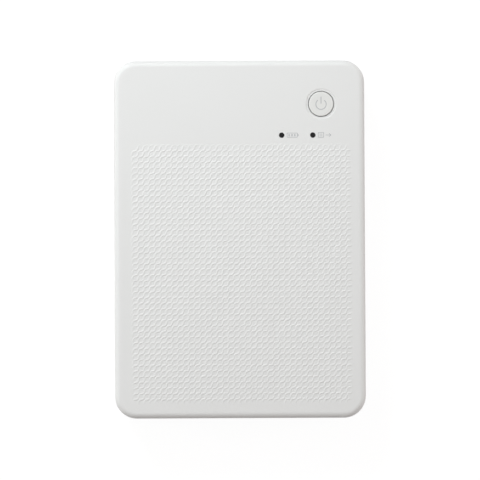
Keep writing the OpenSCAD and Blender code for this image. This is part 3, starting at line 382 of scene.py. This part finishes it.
def metal(name, colour, gloss, lines=4200.0):
    """A bare rolled, drawn or ground metal with fine lines."""
    material, tree, shader = start_material(name)
    drawn = place_group(tree, DRAWN_LINES, Line_Scale=lines, Gloss_Low=gloss[0],
                        Gloss_High=gloss[1])
    base = tinted(tree, colour, drawn["Tone"])
    # Rubbed wear and painted highlight: edges are made paler.
    rubbed_and_highlighted = place_group(tree, EDGE_RUB_AND_HIGHLIGHT, Amount=METAL_RUB_AND_HIGHLIGHT)
    base = overlaid(tree, rubbed_and_highlighted["Mask"], base, paler(colour, *METAL_RUB_AND_HIGHLIGHT_PALING))
    # Dust and painted shade: corners and gaps are made darker.
    dusted_and_shaded = place_group(tree, CREVICE_DUST_AND_SHADE, Amount=METAL_DUST_AND_SHADE)
    base = overlaid(tree, dusted_and_shaded["Mask"], base, METAL_DUST_AND_SHADE_COLOUR)
    link(tree, base, shader.inputs["Base Color"])
    link(tree, drawn["Roughness"], shader.inputs["Roughness"])
    shader.inputs["Metallic"].default_value = 1.0
    bumped(tree, drawn["Height"], METAL_LINE_DEPTH, shader)
    return material


# Each finish: its colour, the lowest and highest roughness of its gloss, and what else sets it
# apart. Grain and lines are numbers per metre.
# In each finish, dust darkens crevices as dust and painted shade, and rub pales edges as wear and
# painted highlight.
PLASTICS = {
    "housing_white": dict(colour=(0.80, 0.805, 0.795), gloss=(0.46, 0.58), grain=4300.0,
                          depth=5e-6, drift=0.008, dust_and_shade=0.25, dust_and_shade_colour=(0.42, 0.41, 0.39),
                          rub_and_highlight=0.12),
    "button_white": dict(colour=(0.78, 0.785, 0.765), gloss=(0.34, 0.42), grain=7000.0,
                         depth=1e-6, drift=0.006, dust_and_shade=0.3, dust_and_shade_colour=(0.40, 0.39, 0.37),
                         rub_and_highlight=0.15),
    "dark_plastic": dict(colour=(0.028, 0.028, 0.031), gloss=(0.38, 0.55)),
    "grey_plastic": dict(colour=(0.30, 0.305, 0.31), gloss=(0.40, 0.55)),
    "ribbon_case": dict(colour=(0.46, 0.465, 0.47), gloss=(0.36, 0.50)),
    "nylon_gear": dict(colour=(0.72, 0.69, 0.58), gloss=(0.32, 0.45), rub_and_highlight=0.1),
    "head_ceramic": dict(colour=(0.70, 0.67, 0.58), gloss=(0.12, 0.22), coat=0.3),
    "roller_rubber": dict(colour=(0.022, 0.022, 0.022), gloss=(0.62, 0.78), grain=2600.0,
                          depth=1e-5),
    "foot_rubber": dict(colour=(0.045, 0.045, 0.048), gloss=(0.58, 0.74), grain=2600.0,
                        depth=1e-5),
    "paper": dict(colour=(0.86, 0.855, 0.83), gloss=(0.30, 0.33), grain=9000.0, depth=1e-6,
                  drift=0.006, dust_and_shade=0.12, rub_and_highlight=0.0),
    "ribbon": dict(colour=(0.09, 0.018, 0.085), gloss=(0.08, 0.16), grain=300.0, depth=2e-5,
                   rub_and_highlight=0.0, coat=0.4),
    "circuit_board": dict(colour=(0.018, 0.10, 0.045), gloss=(0.22, 0.34), grain=1200.0,
                          depth=8e-6),
    "chip_black": dict(colour=(0.018, 0.018, 0.019), gloss=(0.45, 0.6)),
    "flex_film": dict(colour=(0.42, 0.17, 0.025), gloss=(0.12, 0.22), grain=600.0, depth=4e-6),
    "battery_wrap": dict(colour=(0.02, 0.045, 0.11), gloss=(0.20, 0.32), grain=260.0,
                         depth=3e-5),
    "lamp_dark": dict(colour=(0.005, 0.005, 0.006), gloss=(0.10, 0.16), rub_and_highlight=0.0, dust_and_shade=0.05,
                      shine=0.25),
    "led_white": dict(colour=(0.74, 0.71, 0.50), gloss=(0.10, 0.20)),
    "mark_grey": dict(colour=(0.50, 0.51, 0.52), gloss=(0.40, 0.50), rub_and_highlight=0.0, dust_and_shade=0.0),
}
METALS = {
    "sheet_steel": dict(colour=(0.62, 0.63, 0.64), gloss=(0.26, 0.40)),
    "shaft_steel": dict(colour=(0.60, 0.61, 0.62), gloss=(0.16, 0.28), lines=6000.0),
    "screw_steel": dict(colour=(0.20, 0.20, 0.21), gloss=(0.28, 0.42)),
    "spring_steel": dict(colour=(0.48, 0.49, 0.51), gloss=(0.20, 0.34)),
    "aluminium": dict(colour=(0.74, 0.75, 0.76), gloss=(0.28, 0.44), lines=2600.0),
    "brass": dict(colour=(0.72, 0.52, 0.24), gloss=(0.22, 0.38)),
}
MATERIALS = {name: plastic(name, **look) for name, look in PLASTICS.items()}
MATERIALS.update({name: metal(name, **look) for name, look in METALS.items()})


# ---- mesh helpers, all in millimetres ----

# Edges that turn by more than this stay sharp, in degrees.
SHARP_ANGLE = 32


def make_piece(name, form, finish, body, stands_for=(), smooth=True):
    """A piece of the scene from a form, on a body, standing for the nodes it replaces."""
    mesh = bpy.data.meshes.new(name)
    mesh.from_pydata([(x * MM, y * MM, z * MM) for x, y, z in form.points], [], form.faces)
    mesh.materials.append(MATERIALS[finish])
    mesh.update()
    piece = bpy.data.objects.new(name, mesh)
    bpy.context.scene.collection.objects.link(piece)
    if smooth:
        mesh.shade_smooth()
        mesh.set_sharp_from_angle(angle=math.radians(SHARP_ANGLE))
    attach(piece, body)
    if stands_for:
        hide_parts(*stands_for)
    return piece


class Form:
    """Points and faces gathered for one piece."""

    def __init__(self):
        self.points, self.faces = [], []

    def add(self, points, faces):
        base = len(self.points)
        self.points += points
        self.faces += [tuple(base + i for i in face) for face in faces]

    def turned(self, profile, centre, sides):
        """A round upright form with flat ends. Its profile is a list of radius and height."""
        x, y, z = centre
        ring = len(profile)
        points = []
        for s in range(sides):
            a = 2 * math.pi * s / sides
            for radius, height in profile:
                points.append((x + radius * math.cos(a), y + radius * math.sin(a), z + height))
        faces = []
        for s in range(sides):
            n = (s + 1) % sides
            for k in range(ring - 1):
                faces.append((s * ring + k, n * ring + k, n * ring + k + 1, s * ring + k + 1))
        faces.append(tuple(s * ring for s in range(sides - 1, -1, -1)))
        faces.append(tuple(s * ring + ring - 1 for s in range(sides)))
        self.add(points, faces)

    def box(self, x0, x1, y0, y1, z0, z1):
        corners = [(x0, y0), (x1, y0), (x1, y1), (x0, y1)]
        points = [(x, y, z) for z in (z0, z1) for x, y in corners]
        sides = [(i, (i + 1) % 4, (i + 1) % 4 + 4, i + 4) for i in range(4)]
        self.add(points, sides + [(3, 2, 1, 0), (4, 5, 6, 7)])

    def band(self, path, width, low, high):
        """A flat printed or raised line of even width along an open path."""
        left, right = [], []
        for i, (x, y) in enumerate(path):
            ax, ay = path[max(i - 1, 0)]
            bx, by = path[min(i + 1, len(path) - 1)]
            d = math.hypot(bx - ax, by - ay)
            nx, ny = -(by - ay) / d * width / 2, (bx - ax) / d * width / 2
            left.append((x + nx, y + ny))
            right.append((x - nx, y - ny))
        n = len(path)
        points = []
        for z in (low, high):
            points += [(x, y, z) for x, y in left] + [(x, y, z) for x, y in right]
        faces = []
        for i in range(n - 1):
            l0, l1, r0, r1 = i, i + 1, n + i, n + i + 1
            faces += [(2 * n + l0, 2 * n + r0, 2 * n + r1, 2 * n + l1), (l0, l1, r1, r0),
                      (l0, 2 * n + l0, 2 * n + l1, l1), (r0, r1, 2 * n + r1, 2 * n + r0)]
        faces += [(0, n, 3 * n, 2 * n), (n - 1, 3 * n - 1, 4 * n - 1, 2 * n - 1)]
        self.add(points, faces)


def arc(centre, radius, start, end, steps):
    x, y = centre
    angles = [math.radians(start + (end - start) * i / steps) for i in range(steps + 1)]
    return [(x + radius * math.cos(a), y + radius * math.sin(a)) for a in angles]


def line_points(start, end, steps):
    return [tuple(a + (b - a) * i / steps for a, b in zip(start, end)) for i in range(steps + 1)]


# ---- lid ----

lid_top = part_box("lid_shell")[1].z / MM
cap_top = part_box("power_button")[1].z / MM


def zone_depth(x, y):
    """Distance inside the rounded border of the rippled part of the lid."""
    mid_x, mid_y = (RIPPLE_LEFT + RIPPLE_RIGHT) / 2, (RIPPLE_FRONT + RIPPLE_BACK) / 2
    qx = np.abs(x - mid_x) - ((RIPPLE_RIGHT - RIPPLE_LEFT) / 2 - RIPPLE_CORNER)
    qy = np.abs(y - mid_y) - ((RIPPLE_BACK - RIPPLE_FRONT) / 2 - RIPPLE_CORNER)
    outside = np.hypot(np.maximum(qx, 0), np.maximum(qy, 0))
    inside = np.minimum(np.maximum(qx, qy), 0)
    return RIPPLE_CORNER - outside - inside


def lid_ripple():
    """Raised stepping lines that climb from the lower left to the upper right."""
    pitch_x, pitch_y = RIPPLE_PITCH
    columns = int((RIPPLE_RIGHT - RIPPLE_LEFT) / pitch_x) + 1
    rows = int((RIPPLE_BACK - RIPPLE_FRONT) / pitch_y) + 1
    sway_x, sway_y = RIPPLE_SWAY
    form = Form()
    for line in range(-rows, columns):
        t = np.arange(0, (rows + 1) * RIPPLE_STEPS) / RIPPLE_STEPS
        wave = 2 * math.pi * t
        x = RIPPLE_LEFT + pitch_x * (line + t + sway_x / (2 * math.pi) * np.sin(wave))
        y = RIPPLE_FRONT + pitch_y * (t - sway_y / (2 * math.pi) * np.sin(wave))
        depth = zone_depth(x, y)
        keep = depth > 0
        if keep.sum() < RIPPLE_SHORTEST:
            continue
        dx = pitch_x * (1 + sway_x * np.cos(wave))
        dy = pitch_y * (1 - sway_y * np.cos(wave))
        size = np.hypot(dx, dy)
        fade = np.clip(depth / RIPPLE_BORDER, 0, 1)
        fade = fade * fade * (3 - 2 * fade) * (1 - RIPPLE_DIP + RIPPLE_DIP * np.cos(wave))
        x, y, dx, dy, size, fade = (v[keep] for v in (x, y, dx, dy, size, fade))
        n, m = len(x), len(RIPPLE_ACROSS)
        points = []
        for i in range(n):
            nx, ny = -dy[i] / size[i], dx[i] / size[i]
            for across, share in zip(RIPPLE_ACROSS, RIPPLE_SECTION):
                offset = across * RIPPLE_WIDTH
                points.append((x[i] + nx * offset, y[i] + ny * offset,
                               lid_top - RIPPLE_SINK
                               + share * fade[i] * (RIPPLE_RISE + RIPPLE_SINK)))
        faces = [(i * m + k, i * m + k + 1, (i + 1) * m + k + 1, (i + 1) * m + k)
                 for i in range(n - 1) for k in range(m - 1)]
        form.add(points, [face[::-1] for face in faces])
    make_piece("lid_ripple", form, "housing_white", "lid")


def cap_surface(x, y):
    """Height of the hollowed face of the button cap."""
    out = math.hypot(x - BUTTON[0], y - BUTTON[1]) / CAP_RIM_RADIUS
    return cap_top - CAP_HOLLOW * (1 - min(out, 1.0) ** 2)


def power_mark():
    """A printed ring with a gap and a stroke, laid over the hollow cap."""
    form = Form()
    x, y = BUTTON
    ring = arc((x, y - POWER_FORWARD), POWER_RADIUS, 90 + POWER_GAP, 450 - POWER_GAP, 40)
    stroke = line_points((x, y + POWER_STROKE[0]), (x, y + POWER_STROKE[1]), 5)
    for path in (ring, stroke):
        form.band(path, POWER_LINE, -POWER_SINK, PRINT_RISE)
    form.points = [(px, py, pz + cap_surface(px, py)) for px, py, pz in form.points]
    make_piece("power_mark", form, "mark_grey", "power_button",
               smooth=False)


def printed(form, path, width=SIGN_LINE):
    """A printed line on the lid."""
    form.band(path, width, lid_top - SIGN_SINK, lid_top + PRINT_RISE)


def printed_outline(form, x, y, wide, tall):
    """A printed rectangle. Its left edge is at x and its middle height at y."""
    for px in (x, x + wide):
        printed(form, [(px, y - tall / 2), (px, y + tall / 2)])
    for py in (y - tall / 2, y + tall / 2):
        printed(form, [(x, py), (x + wide, py)])


def battery_sign(form, x, y):
    """A battery lying on its side, with its terminal and three bars of its level."""
    wide, tall = BATTERY_SIGN
    printed_outline(form, x, y, wide, tall)
    gap, height, width = BATTERY_TERMINAL
    printed(form, [(x + wide + gap, y - height / 2), (x + wide + gap, y + height / 2)], width)
    start, step, height, width = BATTERY_LEVEL
    for bar in range(3):
        px = x + start + step * bar
        printed(form, [(px, y - height / 2), (px, y + height / 2)], width)


def sheet_sign(form, x, y):
    """A printed sheet with three lines on it, and an arrow that points out of it."""
    printed_outline(form, x, y, *SHEET_SIGN)
    start, end, step, width = SHEET_LINES
    for row in (-1, 0, 1):
        printed(form, [(x + start, y + step * row), (x + end, y + step * row)], width)
    tail, tip, head, half = ARROW
    printed(form, [(x + tail, y), (x + tip, y)])
    printed(form, [(x + tip - head, y + half), (x + tip, y), (x + tip - head, y - half)])


def lamp_marks():
    """Small generic signs beside the lamps."""
    form = Form()
    battery_sign(form, BATTERY_LAMP[0] + SIGN_OFFSET, BATTERY_LAMP[1])
    sheet_sign(form, PAPER_LAMP[0] + SIGN_OFFSET, PAPER_LAMP[1])
    make_piece("lamp_marks", form, "mark_grey", "lid", smooth=False)


def lamp_lenses():
    """A low clear dome over each lamp window."""
    form = Form()
    foot_radius, foot_depth = LENS_FOOT
    dome = [(LENS_RADIUS * across, LENS_DOME * up) for across, up in arc((0, 0), 1, 0, 90, 6)]
    dome[-1] = (LENS_TIP, LENS_DOME)
    for x, y in (BATTERY_LAMP, PAPER_LAMP):
        form.turned([(foot_radius, -foot_depth)] + dome, (x, y, lid_top - LENS_SINK), sides=40)
    make_piece("lamp_lenses", form, "lamp_dark", "lid")


# ---- fixings and feet ----

# Body and head radius of each sort of screw, and whether its head faces up.
SCREWS = {
    "case_screws": ("base", 1.9, True),
    "chassis_screws": ("base", 2.0, False),
    "liner_screws": ("lid", 1.9, False),
}
HEAD_HEIGHT = 0.9
HEAD_SIDES = 64
# Section of a pan head from under its rim to its top: the share of its radius, and the depth
# below the top as a share of its height.
HEAD_SECTION = ((1.0, 1.0), (1.0, 0.5), (0.95, 0.2), (0.82, 0.0))
SHANK_RADIUS = 0.98
# How much thinner in radius the tip of the shank is, and how long it is.
SHANK_TIP = (0.5, 0.6)
# Cross recess: its arms as a share of the head's radius, what they keep of that at the bottom,
# its depth as a share of the head's height, and half the angle that the end of an arm takes.
CROSS_ARM = 0.62
CROSS_TAPER = 0.75
CROSS_DEPTH = 0.6
CROSS_ARM_ANGLE = math.radians(11.25)

# Section of a foot pad from its hollow to its wall: the distance in from the wall, and the height.
PAD_SECTION = ((1.5, 0.18), (1.2, 0.0), (0.45, 0.0), (0.15, 0.12), (0.0, 0.42))
# Radius of the flats that close a pad in the middle.
PAD_CENTRE = 0.01

# The stack of print paper: its sheets, how far they lie out of line, and the gaps between them.
SHEETS = 11
SHEET_PLAY = 0.3
SHEET_GAP = 0.02

# Body, wire radius and turns of the wound springs, the joint that presses them and by how much,
# and whether their top end is the one that stays.
SPRINGS = {
    "pressure_springs": ("lid", 0.2, 5, "plate_lift", 2.0, True),
    "head_springs": ("base", 0.25, 3, "head_tilt", 0.9, False),
}
# How many steps a turn of wire has, and how many sides the wire.
TURN_STEPS = 28
WIRE_SIDES = 10
# How much flatter than its even slope the wire lies at its ends, as a share of that slope.
END_CLOSING = 0.75

# Corners closer than this are one, in metres.
WELD_REACH = 1e-7


def node_islands(node):
    """The lowest and highest corner of each separate solid in a node, in millimetres."""
    mesh = bmesh.new()
    mesh.from_mesh(frame["nodes"][node].data)
    bmesh.ops.remove_doubles(mesh, verts=mesh.verts, dist=WELD_REACH)
    seen, islands = set(), []
    for start in mesh.verts:
        if start in seen:
            continue
        seen.add(start)
        island, waiting = [], [start]
        while waiting:
            vert = waiting.pop()
            island.append(vert.co / MM)
            for edge in vert.link_edges:
                other = edge.other_vert(vert)
                if other not in seen:
                    seen.add(other)
                    waiting.append(other)
        islands.append((np.min(island, axis=0), np.max(island, axis=0)))
    mesh.free()
    return islands


def cross_reach(angle, arm):
    """Distance from the middle of a cross recess to its wall, in the given direction."""
    folded = angle % (math.pi / 2)
    folded = min(folded, math.pi / 2 - folded)
    if folded <= CROSS_ARM_ANGLE + 1e-6:
        return arm / math.cos(folded)
    return arm * math.tan(CROSS_ARM_ANGLE) / math.sin(folded)


def screw(form, x, y, top, radius, length, up):
    """A pan-head screw with a cross recess. Its head is at top and its shank points away."""
    away = -1 if up else 1
    arm = CROSS_ARM * radius
    thinner, tip = SHANK_TIP
    levels = [(SHANK_RADIUS - thinner, None, length), (SHANK_RADIUS, None, length - tip),
              (SHANK_RADIUS, None, HEAD_HEIGHT)]
    levels += [(share * radius, None, depth * HEAD_HEIGHT) for share, depth in HEAD_SECTION]
    levels += [(1.0, arm, 0.0), (CROSS_TAPER, arm, CROSS_DEPTH * HEAD_HEIGHT)]
    points = []
    for size, cross, depth in levels:
        for i in range(HEAD_SIDES):
            angle = 2 * math.pi * i / HEAD_SIDES
            reach = size * (cross_reach(angle, cross) if cross else 1.0)
            points.append((x + reach * math.cos(angle), y + reach * math.sin(angle),
                           top + away * depth))
    faces = []
    for k in range(len(levels) - 1):
        for i in range(HEAD_SIDES):
            j = (i + 1) % HEAD_SIDES
            faces.append((k * HEAD_SIDES + i, k * HEAD_SIDES + j,
                          (k + 1) * HEAD_SIDES + j, (k + 1) * HEAD_SIDES + i))
    faces.append(tuple(range(HEAD_SIDES - 1, -1, -1)))
    faces.append(tuple((len(levels) - 1) * HEAD_SIDES + i for i in range(HEAD_SIDES)))
    form.add(points, [face if up else face[::-1] for face in faces])


def middle_of(low, high):
    return (low[0] + high[0]) / 2, (low[1] + high[1]) / 2


def detailed_screws():
    for node, (body, radius, up) in SCREWS.items():
        form = Form()
        for low, high in node_islands(node):
            top = high[2] if up else low[2]
            screw(form, *middle_of(low, high), top, radius, high[2] - low[2], up)
        make_piece(node + "_cut", form, "screw_steel", body, (node,))


def rubber_foot_pads():
    """Round feet, hollow in the middle, with a rounded rim."""
    form = Form()
    for low, high in node_islands("rubber_feet"):
        radius = (high[0] - low[0]) / 2
        tall = high[2] - low[2]
        profile = [(PAD_CENTRE, PAD_SECTION[0][1])]
        profile += [(radius - inset, height) for inset, height in PAD_SECTION]
        profile += [(radius, tall), (PAD_CENTRE, tall)]
        form.turned(profile, (*middle_of(low, high), low[2]), sides=56)
    make_piece("rubber_foot_pads", form, "foot_rubber", "base", ("rubber_feet",))


def print_paper_sheets():
    """The stack as separate coated sheets that lie a little out of line."""
    low, high = (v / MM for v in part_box("paper_stack"))
    form = Form()
    step = (high.z - low.z) / SHEETS
    for i in range(SHEETS):
        sx, sy = random.uniform(0, SHEET_PLAY), random.uniform(0, SHEET_PLAY)
        z = low.z + i * step
        gap = SHEET_GAP if i < SHEETS - 1 else 0.0
        form.box(low.x + sx, high.x - SHEET_PLAY + sx, low.y + sy, high.y - SHEET_PLAY + sy, z,
                 z + step - gap)
    make_piece("print_paper_sheets", form, "paper", "base", ("paper_stack",), smooth=False)


def coil(form, x, y, low, high, radius, wire, turns):
    """A round wire wound from low to high, with its end turns closed up."""
    count = int(turns * TURN_STEPS) + 1
    rise = high - low - 2 * wire
    points = []
    for i in range(count):
        share = i / (count - 1)
        climb = share - END_CLOSING / (2 * math.pi) * math.sin(2 * math.pi * share)
        slope = (1 - END_CLOSING * math.cos(2 * math.pi * share)) * rise / (2 * math.pi * turns)
        angle = 2 * math.pi * turns * share
        out = Vector((math.cos(angle), math.sin(angle), 0))
        along = Vector((-radius * math.sin(angle), radius * math.cos(angle), slope)).normalized()
        over = out.cross(along)
        middle = Vector((x, y, low + wire + rise * climb)) + out * radius
        for k in range(WIRE_SIDES):
            b = 2 * math.pi * k / WIRE_SIDES
            points.append(tuple(middle + (out * math.cos(b) + over * math.sin(b)) * wire))
    faces = []
    for i in range(count - 1):
        for k in range(WIRE_SIDES):
            n = (k + 1) % WIRE_SIDES
            faces.append((i * WIRE_SIDES + k, i * WIRE_SIDES + n,
                          (i + 1) * WIRE_SIDES + n, (i + 1) * WIRE_SIDES + k))
    faces.append(tuple(range(WIRE_SIDES - 1, -1, -1)))
    faces.append(tuple((count - 1) * WIRE_SIDES + k for k in range(WIRE_SIDES)))
    form.add(points, faces)


def wound_springs():
    """Each node's springs as wound wire."""
    for node, (body, wire, turns, joint, travel, fixed_at_top) in SPRINGS.items():
        form = Form()
        islands = node_islands(node)
        for low, high in islands:
            radius = (high[0] - low[0]) / 2 - wire
            coil(form, *middle_of(low, high), low[2], high[2], radius, wire, turns)
        piece = make_piece(node + "_wound", form, "spring_steel", body, (node,))
        low, high = islands[0]
        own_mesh(piece)


# ---- dressing the CAD pieces ----

# Width of the softened edges of each finish. The finishes left out keep their edges.
EDGE_SOFTNESS = {
    "housing_white": 0.12, "button_white": 0.1, "dark_plastic": 0.15, "grey_plastic": 0.15,
    "ribbon_case": 0.15, "nylon_gear": 0.05, "sheet_steel": 0.08, "aluminium": 0.08,
    "head_ceramic": 0.06, "battery_wrap": 0.3, "circuit_board": 0.05, "chip_black": 0.08,
    "shaft_steel": 0.12,
}
# Edges that turn by more degrees than this are softened, once corners closer than the weld are one.
SOFTENED_ANGLE = 38
EDGE_WELD = 0.002


def dress_nodes():
    """Each node gets its finish, and softened edges that catch the light."""
    for part in frame["record"]["subparts"]:
        node = frame["nodes"][part["node"]]
        finish = part["material_slot"]
        node.data.materials.clear()
        node.data.materials.append(MATERIALS[finish])
        if finish in EDGE_SOFTNESS:
            soften_edges(node, EDGE_SOFTNESS[finish])


def soften_edges(node, width):
    weld = node.modifiers.new("Weld", "WELD")
    weld.merge_threshold = EDGE_WELD * MM
    bevel = node.modifiers.new("Bevel", "BEVEL")
    bevel.width = width * MM
    bevel.segments = 2
    bevel.limit_method = "ANGLE"
    bevel.angle_limit = math.radians(SOFTENED_ANGLE)
    bevel.use_clamp_overlap = True
    evened = node.modifiers.new("Evened", "WEIGHTED_NORMAL")
    evened.keep_sharp = True


# ---- studio ----

FLOOR_REACH = 4.0
FLOOR_TONE = 0.45
SHADOW_TONE = 0.14
FLOOR_GLOW = 0.925

# The sky's level, its colour, and a vector toward its stronger side, as long as the share by
# which that side is stronger.
SKY_LEVEL = 0.398
SKY_COLOUR = (1.0, 0.944, 0.932, 1)
SKY_LEAN = (-0.05, 0.38, -0.33)

# Soft boxes: place, what they face, size, power in watts, colour, and whether gloss mirrors them.
SOFT_BOXES = {
    "key": ((-0.22, 0.45, 0.53), (0, 0, 0.03), (0.3, 0.3), 3.05, (0.925, 0.977, 0.995), True),
    "left": ((-0.75, 0.0, 0.27), (0, 0, 0.02), (0.3, 0.6), 2.2, (1.0, 0.985, 0.98), False),
    "right": ((0.75, 0.0, 0.27), (0, 0, 0.02), (0.3, 0.6), 1.9, (1.0, 0.95, 0.92), False),
    "front": ((0.0, -0.75, 0.24), (0, 0, 0.02), (0.6, 0.3), 0.5, (1.0, 0.94, 0.90), True),
}

# The camera: its distance, the width it takes in there, how many degrees it leans to the front
# and is turned by, and the point it looks at.
CAMERA_DISTANCE = 1.7
CAMERA_WIDTH = 0.1955
CAMERA_TILT = 1.6
CAMERA_ROLL = -0.27
CAMERA_AIM = (0.00011, -0.00036, 0.0326)
# The width of its sensor is in millimetres.
SENSOR_WIDTH = 36.0


def seen_directly(tree):
    """One for rays that the camera sees or that gloss or glass sends it, and zero for the rest."""
    path = add_node(tree, "ShaderNodeLightPath")
    seen = math_node(tree, "MAXIMUM", path.outputs["Is Camera Ray"], path.outputs["Is Glossy Ray"])
    return math_node(tree, "MAXIMUM", seen, path.outputs["Is Transmission Ray"])


def studio_floor():
    """Pale paper. Seen directly it is white with a faint soft shadow."""
    mesh = bpy.data.meshes.new("floor")
    corners = [(x * FLOOR_REACH, y * FLOOR_REACH, 0)
               for x, y in ((-1, -1), (1, -1), (1, 1), (-1, 1))]
    mesh.from_pydata(corners, [], [(0, 1, 2, 3)])
    floor = bpy.data.objects.new("floor", mesh)
    bpy.context.scene.collection.objects.link(floor)
    material, tree, shader = start_material("studio_paper")
    shader.inputs["Base Color"].default_value = (FLOOR_TONE, FLOOR_TONE, FLOOR_TONE, 1)
    shader.inputs["Roughness"].default_value = 0.9
    shader.inputs["Specular IOR Level"].default_value = 0.0
    shadow = add_node(tree, "ShaderNodeBsdfDiffuse")
    shadow.inputs["Color"].default_value = (SHADOW_TONE, SHADOW_TONE, SHADOW_TONE, 1)
    glow = add_node(tree, "ShaderNodeEmission")
    glow.inputs["Strength"].default_value = FLOOR_GLOW
    white = add_node(tree, "ShaderNodeAddShader")
    link(tree, shadow.outputs[0], white.inputs[0])
    link(tree, glow.outputs[0], white.inputs[1])
    either = add_node(tree, "ShaderNodeMixShader")
    link(tree, seen_directly(tree), either.inputs[0])
    link(tree, shader.outputs[0], either.inputs[1])
    link(tree, white.outputs[0], either.inputs[2])
    link(tree, either.outputs[0], tree.nodes["Material Output"].inputs["Surface"])
    mesh.materials.append(material)


def studio_sky():
    """Soft light from all round, plain white where it is seen directly."""
    world = bpy.data.worlds.new("studio")
    bpy.context.scene.world = world
    world.use_nodes = True
    tree = world.node_tree
    soft = tree.nodes["Background"]
    soft.inputs["Color"].default_value = SKY_COLOUR
    toward = add_node(tree, "ShaderNodeVectorMath", operation="DOT_PRODUCT")
    link(tree, add_node(tree, "ShaderNodeTexCoord").outputs["Generated"], toward.inputs[0])
    toward.inputs[1].default_value = SKY_LEAN
    strength = math_node(tree, "MULTIPLY", math_node(tree, "ADD", toward.outputs["Value"], 1.0),
                         SKY_LEVEL)
    link(tree, strength, soft.inputs["Strength"])
    plain = add_node(tree, "ShaderNodeBackground")
    plain.inputs["Color"].default_value = (1, 1, 1, 1)
    plain.inputs["Strength"].default_value = 1.0
    mix = add_node(tree, "ShaderNodeMixShader")
    link(tree, seen_directly(tree), mix.inputs[0])
    link(tree, soft.outputs[0], mix.inputs[1])
    link(tree, plain.outputs[0], mix.inputs[2])
    link(tree, mix.outputs[0], tree.nodes["World Output"].inputs["Surface"])


def soft_boxes():
    for name, (place, target, size, power, colour, mirrored) in SOFT_BOXES.items():
        light = bpy.data.lights.new(name, "AREA")
        light.color = colour
        light.shape = "RECTANGLE"
        light.size, light.size_y = size
        light.energy = power
        lamp = bpy.data.objects.new(name, light)
        lamp.location = place
        lamp.visible_glossy = mirrored
        lamp.rotation_mode = "QUATERNION"
        lamp.rotation_quaternion = (Vector(target) - Vector(place)).to_track_quat("-Z", "Y")
        bpy.context.scene.collection.objects.link(lamp)


def overhead_camera():
    """A long lens looking down, leaning a little toward the front."""
    data = bpy.data.cameras.new("camera")
    data.sensor_width = SENSOR_WIDTH
    data.lens = SENSOR_WIDTH * CAMERA_DISTANCE / CAMERA_WIDTH
    data.clip_start, data.clip_end = 0.05, 20.0
    camera = bpy.data.objects.new("camera", data)
    bpy.context.scene.collection.objects.link(camera)
    tilt, roll = math.radians(CAMERA_TILT), math.radians(CAMERA_ROLL)
    back = Vector((0, -math.sin(tilt), math.cos(tilt)))
    right = Vector((math.cos(roll), math.sin(roll), 0))
    up = back.cross(right).normalized()
    right = up.cross(back)
    turn = [[right[i], up[i], back[i]] for i in range(3)]
    camera.rotation_mode = "QUATERNION"
    camera.rotation_quaternion = Matrix(turn).to_quaternion()
    camera.location = Vector(CAMERA_AIM) + back * CAMERA_DISTANCE
    bpy.context.scene.camera = camera


lid_ripple()
power_mark()
lamp_marks()
lamp_lenses()
detailed_screws()
rubber_foot_pads()
print_paper_sheets()
wound_springs()
dress_nodes()

studio_floor()
studio_sky()
soft_boxes()
overhead_camera()

bpy.context.scene.view_settings.view_transform = "Standard"
